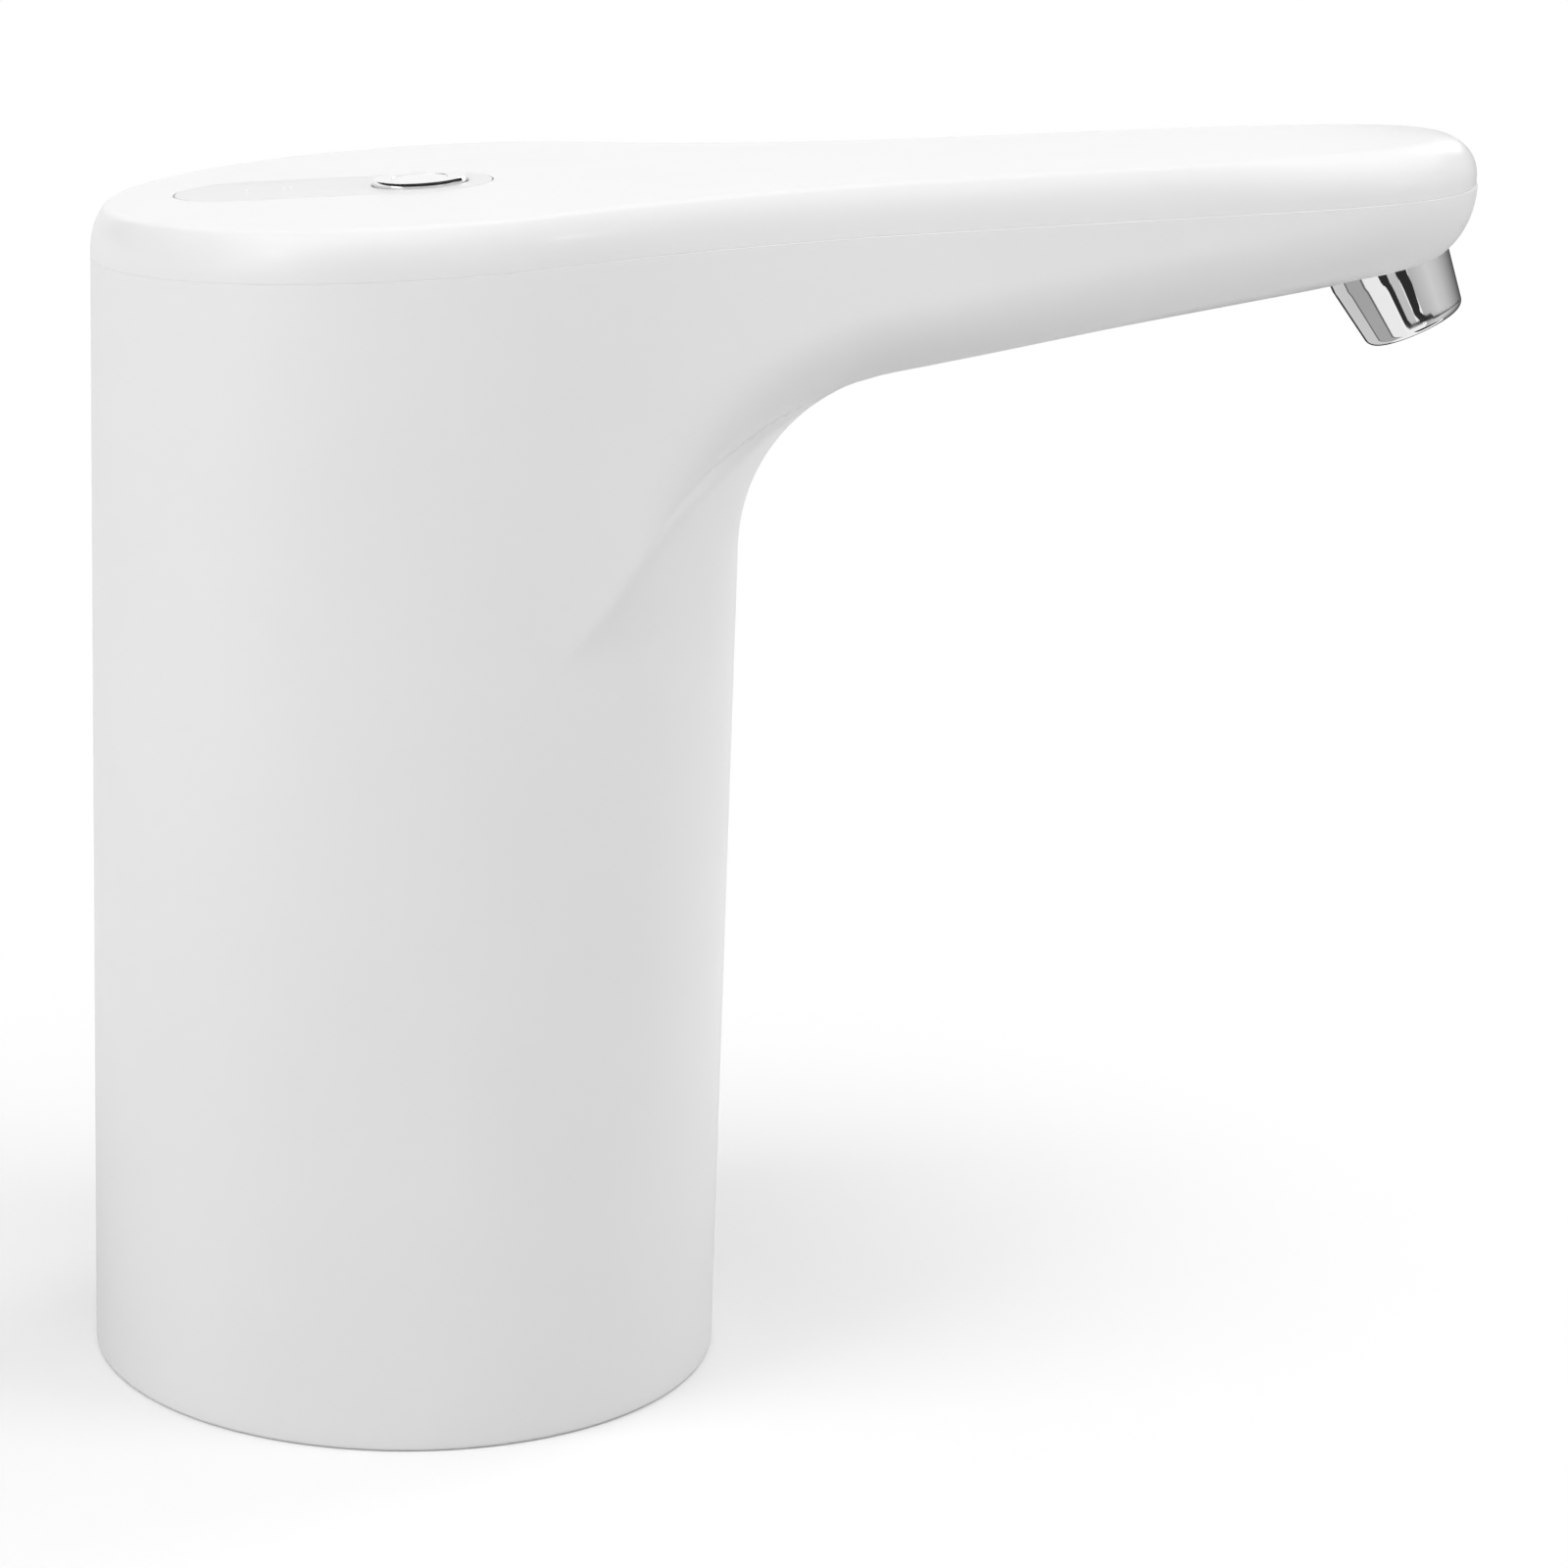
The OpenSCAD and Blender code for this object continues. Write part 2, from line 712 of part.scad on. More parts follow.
module battery_cell() {
    cap_h = 0.8;
    color("royalblue") translate([cell_x, 0, cell_z]) {
        cylinder(r = cell_r, h = cell_l - cap_h);
        cylinder(r = cell_r * 0.36, h = cell_l);
    }
}

// Half sleeve with a floor, open towards the motor and cut clear of the pump and of the ledge
module battery_cradle() {
    pump_back = pump_x - pump_size.x / 2 - fit_gap;
    color("lightgray") translate([cell_x, 0, plate_top]) intersection() {
        difference() {
            cylinder(r = cradle_r, h = cradle_h);
            translate([0, 0, cradle_floor]) cylinder(r = cell_r + fit_gap, h = cradle_h);
            translate([cradle_open - cell_r, -cradle_r, cradle_floor])
                cube([2 * cradle_r, 2 * cradle_r, cradle_h]);
            translate([pump_back - cell_x, -cradle_r, -eps]) cube([2 * cradle_r, 2 * cradle_r, cradle_h]);
            for (y = cradle_screw_at) translate([0, y, -eps])
                cylinder(r = small_pilot_r, h = cradle_floor - 0.4);
        }
        translate([-cell_x, 0, -eps]) cylinder(r = ledge_r - fit_gap, h = cradle_h + 2 * eps);
    }
}

module cradle_screws() {
    color("silver") for (y = cradle_screw_at) {
        translate([cell_x, y, plate_z + 0.2])
            screw(small_pilot_r, small_head_r, 1.2, plate_t - 1.4 + cradle_thread);
    }
}

module at_motor() {
    translate([drive_at.x, drive_at.y, 0]) children();
}

// Drawn can with a closed face and a nose round the front bush
module motor_can() {
    color("silver") at_motor() difference() {
        union() {
            translate([0, 0, motor_z]) cylinder(r = motor_r, h = motor_l);
            translate([0, 0, motor_z - bush_nose]) cylinder(r = nose_r, h = bush_nose + eps);
        }
        translate([0, 0, motor_z + can_face_t]) cylinder(r = motor_r - can_t, h = motor_l);
        translate([0, 0, motor_z - bush_nose - eps])
            cylinder(r = bush_r, h = bush_nose + can_face_t + 2 * eps);
        for (s = [-1, 1]) translate([s * motor_screw_off, 0, motor_z - eps])
            cylinder(r = motor_screw_r, h = can_face_t + 2 * eps);
    }
}

module motor_end_cap() {
    color("ivory") at_motor() difference() {
        union() {
            translate([0, 0, motor_top - cap_depth])
                cylinder(r = motor_r - can_t - fit_gap, h = cap_depth + eps);
            translate([0, 0, motor_top]) cylinder(r = motor_r, h = cap_flange);
        }
        translate([0, 0, motor_top - cap_depth - eps])
            cylinder(r = cap_pocket_r, h = cap_pocket_z - motor_top + cap_depth);
        translate([0, 0, cap_pocket_z - 2 * eps]) cylinder(r = bush_r, h = cap_flange);
    }
}

module motor_terminals() {
    color("gold") at_motor() for (s = [-1, 1]) {
        translate([s * terminal_at - terminal_size.x / 2, -terminal_size.y / 2, motor_top + cap_flange])
            cube(terminal_size);
    }
}

module motor_bushes() {
    rear_l = cap_flange - 0.4;
    color("peru") at_motor() difference() {
        union() {
            translate([0, 0, motor_z - bush_nose]) cylinder(r = bush_r, h = bush_l);
            translate([0, 0, cap_pocket_z]) cylinder(r = bush_r, h = rear_l);
        }
        translate([0, 0, motor_z - 2 * bush_l]) cylinder(r = shaft_r + run_gap, h = motor_l + 4 * bush_l);
    }
}

module motor_magnets() {
    out = motor_r - can_t - fit_gap;
    color("dimgray") at_motor() for (a = [0, 180]) {
        rotate(a - magnet_arc / 2) translate([0, 0, magnet_z])
            rotate_extrude(angle = magnet_arc)
                translate([out - magnet_t, 0]) square([magnet_t, magnet_l]);
    }
}

module motor_brushes() {
    color("black") at_motor() for (s = [-1, 1]) {
        translate([s > 0 ? commutator_r + 0.1 : -cap_pocket_r + 0.15, -0.9, motor_top - cap_depth + 0.3])
            cube([cap_pocket_r - 0.25 - commutator_r, 1.8, 2.4]);
    }
}

module motor_shaft() {
    color("silver") at_motor() translate([0, 0, gear_z])
        cylinder(r = shaft_r, h = motor_top + cap_flange - 0.3 - gear_z);
}

// Laminated core with a tooth tip on each side of every winding slot
module motor_armature() {
    color("sienna") at_motor() difference() {
        translate([0, 0, armature_z]) cylinder(r = armature_r, h = armature_l);
        translate([0, 0, armature_z - eps]) cylinder(r = shaft_r, h = armature_l + 2 * eps);
        for (i = [0 : armature_slots - 1]) {
            rotate(i * 360 / armature_slots)
                translate([armature_r - slot_depth, -slot_w / 2, armature_z - eps])
                cube([slot_depth + 1, slot_w, armature_l + 2 * eps]);
        }
    }
}

module motor_commutator() {
    color("peru") at_motor() translate([0, 0, commutator_z]) difference() {
        cylinder(r = commutator_r, h = commutator_l);
        translate([0, 0, -eps]) cylinder(r = shaft_r, h = commutator_l + 2 * eps);
    }
}

module motor_screws() {
    seat = housing_top - motor_screw_seat;
    color("silver") at_motor() for (s = [-1, 1]) {
        translate([s * motor_screw_off, 0, seat - motor_screw_head_h])
            screw(motor_screw_r, motor_screw_head_r, motor_screw_head_h, motor_screw_seat + can_face_t);
    }
}

function involute(a) = tan(a) * 180 / PI - a;
function tooth_half(r) =
    let (at_pitch = 90 / gear_teeth - gear_backlash / pitch_r * 45 / PI)
    at_pitch + involute(gear_pressure) - involute(acos(min(gear_base_r / r, 1)));
function tooth_side(s) = [
    for (i = [0 : gear_flank_steps])
    let (r = gear_base_r + (gear_tip_r - gear_base_r) * i / gear_flank_steps)
    [r, s * tooth_half(r)]
];
function tooth() = concat(
    [[gear_root_r, -tooth_half(gear_base_r)]],
    tooth_side(-1),
    [for (i = [gear_flank_steps : -1 : 0]) tooth_side(1)[i]],
    [[gear_root_r, tooth_half(gear_base_r)]]
);

module spur_gear(bore_r, turn) {
    linear_extrude(gear_w) difference() {
        rotate(turn) polygon([
            for (i = [0 : gear_teeth - 1])
            for (p = tooth())
            let (a = p[1] + i * 360 / gear_teeth)
            p[0] * [cos(a), sin(a)]
        ]);
        circle(bore_r);
    }
}

// A tooth of the drive gear lies on the line of centres, and a gap of the driven gear meets it
module drive_gear() {
    color("white") translate([drive_at.x, drive_at.y, gear_z]) spur_gear(shaft_r, 90);
}

module driven_gear() {
    color("white") translate([driven_at.x, driven_at.y, gear_z])
        spur_gear(idler_r + run_gap, -90 + 180 / gear_teeth);
}

module idler_pin() {
    color("silver") translate([driven_at.x, driven_at.y, cover_face - idler_foot])
        cylinder(r = idler_r, h = idler_top - cover_face + idler_foot);
}

module chamber_outline(grow) {
    for (p = [drive_at, driven_at]) translate(p) circle(chamber_r + grow);
    for (p = [[0, 0], outlet_port]) translate(p) circle(port_r + grow);
}

module pump_block(h) {
    translate([pump_x, 0, 0]) rounded_plate(pump_size, pump_corner, h);
}

// Block with the gear chamber, its ports and the upright outlet spigot
module pump_housing() {
    lug_x = hose_x;
    h = housing_top - housing_z;
    color("whitesmoke") difference() {
        union() {
            translate([0, 0, housing_z]) pump_block(h);
            translate([lug_x - lug_size.x / 2 - lug_lap, 0, housing_z])
                rounded_plate([lug_size.x + 2 * lug_lap, lug_size.y], lug_corner, h);
            translate([lug_x, 0, housing_top - eps]) cylinder(r = outlet_spigot_r, h = outlet_spigot_l);
        }
        translate([0, 0, housing_z - eps])
            linear_extrude(chamber_top - housing_z + eps) chamber_outline(0);
        translate([outlet_port.x, 0, outlet_gallery_z]) rotate([0, 90, 0])
            cylinder(r = outlet_gallery_r, h = lug_x - outlet_port.x);
        translate([lug_x, 0, outlet_gallery_z - outlet_gallery_r / 2])
            cylinder(r = outlet_bore_r, h = housing_top + outlet_spigot_l);
        translate([drive_at.x, drive_at.y, chamber_top - eps])
            cylinder(r = shaft_r + 2 * run_gap, h = 2 * seal_pocket_floor);
        translate([drive_at.x, drive_at.y, seal_pocket_z]) cylinder(r = seal_pocket_r, h = housing_top);
        translate([driven_at.x, driven_at.y, chamber_top - eps])
            cylinder(r = idler_r, h = idler_top - chamber_top + eps);
        at_points(pump_screw_at) translate([0, 0, housing_z - eps])
            cylinder(r = screw_pilot_r, h = h - pump_thread_end);
        for (s = [-1, 1]) translate([drive_at.x + s * motor_screw_off, drive_at.y, housing_z - eps]) {
            cylinder(r = motor_screw_head_r + 0.2, h = h - motor_screw_seat + eps);
            cylinder(r = motor_screw_r + 0.1, h = h + 2 * eps);
        }
    }
}

// Plate under the gears with the inlet spigot hanging through the base plate
module pump_cover() {
    color("whitesmoke") difference() {
        union() {
            translate([0, 0, plate_top]) pump_block(cover_plate_t);
            translate([0, 0, plate_z]) cylinder(r = collar_r, h = plate_t + eps);
            translate([0, 0, spigot_low]) cylinder(r = spigot_r, h = plate_top - spigot_low);
        }
        translate([0, 0, spigot_low - eps])
            cylinder(r = spigot_bore_r, h = cover_face - spigot_low + 2 * eps);
        translate([driven_at.x, driven_at.y, cover_face - idler_foot])
            cylinder(r = idler_r, h = idler_foot + eps);
        at_points(pump_screw_at) translate([0, 0, plate_top - eps])
            cylinder(r = screw_hole_r, h = cover_plate_t + 2 * eps);
    }
}

module pump_gasket() {
    color("dimgray") translate([0, 0, cover_face]) difference() {
        pump_block(gasket_t);
        translate([0, 0, -eps]) linear_extrude(gasket_t + 2 * eps) chamber_outline(gasket_edge);
        at_points(pump_screw_at) translate([0, 0, -eps])
            cylinder(r = screw_hole_r, h = gasket_t + 2 * eps);
    }
}

module shaft_seal() {
    color("black") at_motor() translate([0, 0, seal_pocket_z]) difference() {
        cylinder(r = seal_pocket_r, h = shaft_seal_t);
        translate([0, 0, -eps]) cylinder(r = shaft_r + run_gap, h = shaft_seal_t + 2 * eps);
    }
}

module inlet_ring() {
    mid = (collar_r + inlet_hole_r) / 2;
    color("black") translate([0, 0, plate_z + plate_t / 2]) rotate_extrude()
        translate([mid, 0]) circle((inlet_hole_r - collar_r) / 2 - 0.02);
}

// Hose centre line in the plane y = 0: a straight rise, a round bend, a straight run
hose_bend_out = hose_bend_c + hose_bend * [-sin(hose_end_angle), cos(hose_end_angle)];
hose_end_x = nozzle_root.x - elbow_back - elbow_gap;
hose_run = (hose_end_x - hose_bend_out.x) / cos(hose_end_angle);
function hose_rise_points() = [
    for (i = [0 : 3])
    [[hose_x, hose_low + (hose_bend_c.y - hose_low) * i / 4], 90]
];
function hose_bend_points() = [
    for (i = [0 : 9])
    let (a = 90 - (90 - hose_end_angle) * i / 9)
    [hose_bend_c + hose_bend * [-sin(a), cos(a)], a]
];
function hose_run_points() = [
    for (i = [1 : 4])
    [hose_bend_out + hose_run * i / 4 * [cos(hose_end_angle), sin(hose_end_angle)], hose_end_angle]
];
function hose_ring(s, r) = [
    for (j = [hose_sides - 1 : -1 : 0])
    let (f = (j + 0.5) * 360 / hose_sides)
    let (out = r * cos(f))
    [s[0].x - out * sin(s[1]), r * sin(f), s[0].y + out * cos(s[1])]
];

module outlet_hose() {
    path = concat(hose_rise_points(), hose_bend_points(), hose_run_points());
    n = len(path);
    rings = concat(
        [for (i = [0 : n - 1]) hose_ring(path[i], hose_r)],
        [for (i = [n - 1 : -1 : 0]) hose_ring(path[i], hose_bore / 2)]
    );
    color("lightgray") ring_solid(rings, true);
}

module nozzle_frame() {
    translate(nozzle_root) rotate([0, 180 - nozzle_lean, 0]) children();
}

// Elbow over the nozzle's stub, with a spigot back along the spout for the hose
module outlet_elbow() {
    collar = thread_r + elbow_t;
    spigot_x = hose_end_x - elbow_grip;
    spigot_end = [spigot_x, 0, hose_bend_out.y + (spigot_x - hose_bend_out.x) * tan(hose_end_angle)];
    feed = [nozzle_root.x - nozzle_lift.x, 0, nozzle_root.z + nozzle_lift.z];
    back = norm(feed - spigot_end);
    color("whitesmoke") difference() {
        union() {
            nozzle_frame() translate([0, 0, -elbow_low - elbow_len]) cylinder(r = collar, h = elbow_len);
            translate(spigot_end) rotate([0, 90 - hose_end_angle, 0])
                cylinder(r = outlet_spigot_r, h = back);
        }
        nozzle_frame() translate([0, 0, -nozzle_in - thread_l - eps])
            cylinder(r = thread_r, h = thread_l + 1);
        translate(spigot_end) rotate([0, 90 - hose_end_angle, 0]) translate([0, 0, -eps])
            cylinder(r = outlet_bore_r, h = back);
    }
}
nozzle_lift = elbow_up * [sin(nozzle_lean), 0, cos(nozzle_lean)];

// Tapered spout tip with a rounded lip, a flared bore and a threaded stub inside the spout
module nozzle() {
    lip = nozzle_lip;
    color("silver") nozzle_frame() rotate_extrude() {
        difference() {
            union() {
                polygon([
                    [0, -nozzle_in],
                    [nozzle_r, -nozzle_in],
                    [nozzle_r, 0],
                    [nozzle_tip_r, nozzle_l - lip],
                    [nozzle_tip_r - lip, nozzle_l],
                    [0, nozzle_l]
                ]);
                translate([0, -nozzle_in - thread_l]) square([thread_r, thread_l]);
                intersection() {
                    translate([nozzle_tip_r - lip, nozzle_l - lip]) circle(lip);
                    square([nozzle_tip_r, nozzle_l]);
                }
            }
            translate([0, -nozzle_in - thread_l]) square([nozzle_bore_r, nozzle_l + nozzle_in + thread_l]);
        }
    }
}

module nozzle_ring() {
    color("black") nozzle_frame() translate([0, 0, -nozzle_in - oring_r]) rotate_extrude()
        translate([thread_r + oring_r, 0]) circle(oring_r);
}

// Round plate with a skirt down to the seal, carrying the pump and the battery
module base_plate() {
    out = inner_r - fit_gap;
    color("whitesmoke") difference() {
        union() {
            translate([0, 0, plate_z]) cylinder(r = out, h = plate_t);
            translate([0, 0, seal_top]) cylinder(r = out, h = plate_z - seal_top + eps);
        }
        translate([0, 0, seal_top - eps]) cylinder(r = out - skirt_t, h = plate_z - seal_top + eps);
        translate([0, 0, plate_z - eps]) cylinder(r = inlet_hole_r, h = plate_t + 2 * eps);
        at_points(concat(pump_screw_at, [for (a = boss_angles) boss_ring_r * [cos(a), sin(a)]])) {
            translate([0, 0, plate_z - eps]) cylinder(r = screw_hole_r, h = plate_t + 2 * eps);
            translate([0, 0, plate_z - eps]) cylinder(r = head_pocket_r, h = head_pocket);
        }
        for (y = cradle_screw_at) translate([cell_x, y, plate_z - eps]) {
            cylinder(r = small_pilot_r + 0.2, h = plate_t + 2 * eps);
            cylinder(r = small_head_r + 0.2, h = 1.4 + eps);
        }
    }
}

module base_screws() {
    color("silver") for (a = boss_angles) {
        rotate(a) translate([boss_ring_r, 0, plate_z + head_pocket - screw_head_h - eps])
            screw(screw_pilot_r, screw_head_r, screw_head_h, plate_t - head_pocket + base_thread);
    }
}

module pump_screws() {
    color("silver") at_points(pump_screw_at) translate([0, 0, plate_z + head_pocket - screw_head_h - eps])
        screw(screw_pilot_r, screw_head_r, screw_head_h, housing_z - plate_z - head_pocket + pump_thread);
}

// Soft sleeve for the jug's neck, with a flange that stops the neck's rim
module neck_seal() {
    out = inner_r - fit_gap;
    color("gainsboro") rotate_extrude() polygon([
        [bore_r, 0],
        [out, 0],
        [out, seal_top],
        [seal_flange_r, seal_top],
        [seal_flange_r, neck_depth],
        [bore_r, neck_depth]
    ]);
}

body_shell();
top_cover();
control_panel();
power_button();
button_ring();
indicator_lenses();
circuit_board();
board_screws();
tact_switch();
switch_plunger();
indicator_leds();
charging_socket();
battery_cell();
battery_cradle();
cradle_screws();
motor_can();
motor_end_cap();
motor_terminals();
motor_bushes();
motor_magnets();
motor_brushes();
motor_shaft();
motor_armature();
motor_commutator();
motor_screws();
drive_gear();
driven_gear();
idler_pin();
pump_housing();
pump_cover();
pump_gasket();
shaft_seal();
inlet_ring();
outlet_hose();
outlet_elbow();
nozzle();
nozzle_ring();
base_plate();
base_screws();
pump_screws();
neck_seal();
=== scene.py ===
import json
import math

import bmesh
import bpy
import numpy as np
from mathutils import Matrix, Vector


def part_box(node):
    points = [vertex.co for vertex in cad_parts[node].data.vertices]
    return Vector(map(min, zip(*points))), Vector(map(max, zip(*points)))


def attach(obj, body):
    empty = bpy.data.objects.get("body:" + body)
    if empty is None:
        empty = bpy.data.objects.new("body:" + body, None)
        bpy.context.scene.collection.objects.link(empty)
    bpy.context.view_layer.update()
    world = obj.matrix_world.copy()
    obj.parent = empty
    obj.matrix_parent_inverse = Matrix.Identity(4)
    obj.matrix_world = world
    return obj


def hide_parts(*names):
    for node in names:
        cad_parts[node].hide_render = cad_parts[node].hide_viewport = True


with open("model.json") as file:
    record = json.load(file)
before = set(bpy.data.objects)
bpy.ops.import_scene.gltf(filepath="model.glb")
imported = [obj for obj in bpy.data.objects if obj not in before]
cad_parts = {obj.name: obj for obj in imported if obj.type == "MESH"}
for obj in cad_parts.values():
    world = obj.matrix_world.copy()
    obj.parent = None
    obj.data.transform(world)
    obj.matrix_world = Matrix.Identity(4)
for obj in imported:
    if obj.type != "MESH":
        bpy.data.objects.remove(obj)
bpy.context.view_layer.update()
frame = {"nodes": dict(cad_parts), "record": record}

# Electric water jug pump. The shell, cover, panel, lenses, button, ring and nozzle are made here
# from the part's driving sizes and stand for their CAD nodes. The inner nodes get materials only.
# Sizes are in millimetres, as in the part's source, and become metres when a mesh is made.
MM = 0.001

# Body and spout
BODY_R = 34.0
WALL = 2.2
PART_H = 122.2  # the parting line's height at the body's axis
TILT = math.radians(4.9)  # of the top
RISE = math.tan(TILT)
REACH = 109.0  # from the body's axis to the spout's tip
TIP_R = 15.9
FLANK_R = 92.0  # the hollow flank between body and spout
FLANK_TAPER = math.radians(4.0)
ROOT_DEPTH = 15.4  # the spout's depth below the parting line, at its root and at its tip
TIP_DEPTH = 8.5
THROAT_R = 20.0
TIP_RUN = 8.5
TIP_SOFTEN = 6.0
TIP_POWER = 2.2
SHOULDER = 9.0  # how far the nose swells past the round body before it meets the flank
SHOULDER_FROM = PART_H - 40
SHOULDER_OVER = 22.0
EDGE_ROLL = 8.0  # the spout's rolled lower edge
ROLL_FROM = BODY_R - 9.5
ROLL_LEAD = 3.0
ROLL_OVER = 30.0
CREASE = 0.2  # share of the swell that rounds the crease behind the throat
CREASE_OVER = 25.0
LEAN_FROM = PART_H - 62  # the sections lean with the top from here up
LEAN_OVER = 35.0
PLATE_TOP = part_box("base_plate")[1].z / MM
LEDGE_T = 2.0
LEDGE_DEPTH = 1.8
FIT_GAP = 0.15

# Cover
COVER_T = 5.1
COVER_SIDE = 0.8  # upright part of its side
COVER_SIDE_R = 7.0
COVER_EDGE_R = 1.0
COVER_TIP_R = 4.6  # fuller round at the spout's tip
COVER_TIP_FROM = 76.0
COVER_TIP_OVER = 28.0
COVER_SKIN = 1.8
LIP_H = 3.0
LIP_T = 1.2
TOP_H = PART_H + COVER_T

# Edges that the light catches
RIM_R = 0.5
PART_BEVEL = 0.06
COVER_BEVEL = 0.05
SEAM_STEP = 0.16
SEAM_OVER = 45.0

# Control panel and button, in heights over the tilted top
PANEL_L = 33.0
PANEL_W = 15.0
PANEL_X = -9.2
PANEL_TOP = 0.03
PANEL_FLOOR = -1.0
PANEL_EDGE = 0.12
PANEL_HALF = (PANEL_L - PANEL_W) / 2
RECESS_EDGE = 0.05
BUTTON_X = PANEL_X + PANEL_HALF
BUTTON_R = 4.85
BUTTON_RISE = 0.6
BUTTON_GAP = 0.2
RING_T = 1.95
CAP_R = BUTTON_R - RING_T
CAP_DROP = 0.05  # below the ring's top
CAP_EDGE = 0.12
DISH_DEPTH = 0.35
FLANGE_TOP = -0.1 + PANEL_FLOOR
FLANGE_LOW = FLANGE_TOP - 0.65
FLANGE_R = BUTTON_R + BUTTON_GAP + 0.6
STEM_R = 1.6
STEM_LOW = -3.2
LENS_HOLE_R = 0.29
LENS_STEP = 4.2
LENS_PAIR = 0.75
LENS_RISE = 0.14
LENS_FIT = 0.01

# Charging socket's opening in the rear wall
SOCKET_W = 8.94
SOCKET_H = 3.26
SOCKET_GAP = 0.3
SOCKET_MID = 7.5 + 1.2 + SOCKET_H / 2  # below the top
SOCKET_FACE = -BODY_R - 0.85  # along the tilted top
SOCKET_FLARE = 1.2

# Nozzle
NOZZLE_R = 6.42
NOZZLE_TIP_R = 5.45
NOZZLE_L = 6.9
NOZZLE_BORE_R = 3.5
NOZZLE_BORE_EDGE = 0.3
NOZZLE_LEAN = math.radians(27.5)
NOZZLE_IN = 3.0
NOZZLE_THREAD_R = NOZZLE_BORE_R + 0.9
NOZZLE_THREAD_L = 5.0
NOZZLE_LIP = 1.0

# The photograph's view: about 15 degrees above the horizon with a slight roll
CAMERA_AT = (39.2, -455.51, 189.44)
CAMERA_TURN = math.radians(-0.0767)
CAMERA_RISE = math.radians(15.3803)
CAMERA_ROLL = math.radians(2.132)
CAMERA_LENS = 100.955
CAMERA_SENSOR = 36.0

# How finely the smooth forms are sampled
BACK_STEPS = 40
FRONT_STEPS = 110
LATHE_STEPS = 160
CUTTER_STEPS = 96
DOT_STEPS = 32
OVAL_STEPS = 64
BODY_LEVELS = 10
BLEND_LEVELS = 64
BLEND_LEAD = 10.0  # the fine levels start this far below the shoulder
LEVEL_GAP = 2.0
SPOUT_LEVELS = 32
TIP_LEVELS = 26
TIP_CROWD = 1.4  # draws the tip's levels together towards the parting line
INNER_LEVELS = 24

# The spout's underside: a straight keel, and the throat arc between it and the body
ROOT_X = BODY_R + 14
ROOT_Z = PART_H - ROOT_DEPTH
KEEL_SLOPE = (ROOT_DEPTH - TIP_DEPTH) / (REACH - TIP_RUN - ROOT_X)
KEEL_ANGLE = math.atan(KEEL_SLOPE)
THROAT_X = BODY_R + THROAT_R * (1 - math.sin(KEEL_ANGLE))
THROAT_Z = ROOT_Z + KEEL_SLOPE * (THROAT_X - ROOT_X)
THROAT_C = THROAT_Z - THROAT_R * math.cos(KEEL_ANGLE)


def mm_matrix(x, y, z):
    return Matrix.Translation(Vector((x, y, z)) * MM)


# Places: the tilted top, and the nozzle's axis out of the spout's underside
ON_TOP = mm_matrix(0, 0, TOP_H) @ Matrix.Rotation(-TILT, 4, "Y")
ON_BUTTON = ON_TOP @ mm_matrix(BUTTON_X, 0, 0)
NOZZLE_X = REACH - 8.3
NOZZLE_Z = ROOT_Z + KEEL_SLOPE * (NOZZLE_X - ROOT_X) + RISE * NOZZLE_X
AT_NOZZLE = mm_matrix(NOZZLE_X, 0, NOZZLE_Z) @ Matrix.Rotation(math.pi - NOZZLE_LEAN, 4, "Y")


def smooth(t):
    """Eased step from 0 to 1."""
    t = np.clip(t, 0, 1)
    return t * t * (3 - 2 * t)


def soft_min(a, b, k):
    """The smaller of a and b, rounded over where they are within k of each other."""
    k = np.maximum(k, 1e-6)
    return np.minimum(a, b) - np.maximum(k - np.abs(a - b), 0) ** 2 / (4 * k)


def flank_centre():
    """Centre of the hollow flank arc, tangent to the round body and to the straight flank."""
    out = np.array([math.sin(FLANK_TAPER), math.cos(FLANK_TAPER)])
    run = np.array([math.cos(FLANK_TAPER), -math.sin(FLANK_TAPER)])
    q = np.array([REACH - TIP_R, 0]) + (TIP_R + FLANK_R) * out
    b = q @ run
    return q - (b - math.sqrt(b * b - q @ q + (BODY_R + FLANK_R) ** 2)) * run, out


FLANK_C, FLANK_OUT = flank_centre()


def flank(x, inset):
    """Half-width of the plan outline: round body, hollow flank, straight taper."""
    r, h = BODY_R - inset, FLANK_R + inset
    x1 = FLANK_C[0] * r / np.linalg.norm(FLANK_C)
    x2 = FLANK_C[0] - h * FLANK_OUT[0]
    round_part = np.sqrt(np.maximum(r * r - x * x, 0))
    hollow = FLANK_C[1] - np.sqrt(np.maximum(h * h - (x - FLANK_C[0]) ** 2, 0))
    straight = FLANK_C[1] - h * FLANK_OUT[1] - math.tan(FLANK_TAPER) * (x - x2)
    return np.where(x < x1, round_part, np.where(x < x2, hollow, straight))


def reach(z):
    """How far forward the section at level z goes: body, throat arc, keel, rounded tip."""
    if z <= THROAT_C:
        return BODY_R
    if z <= THROAT_Z:
        return BODY_R + THROAT_R - math.sqrt(THROAT_R**2 - (z - THROAT_C) ** 2)
    d = min(max((PART_H - z) / TIP_DEPTH, 0), 1)
    tip = REACH - TIP_RUN * (1 - (1 - d**TIP_POWER) ** (1 / TIP_POWER))
    return float(soft_min(ROOT_X + (z - ROOT_Z) / KEEL_SLOPE, tip, TIP_SOFTEN))


def inner_reach(z):
    return min(reach(z) - WALL, max(reach(z - WALL), BODY_R - WALL))


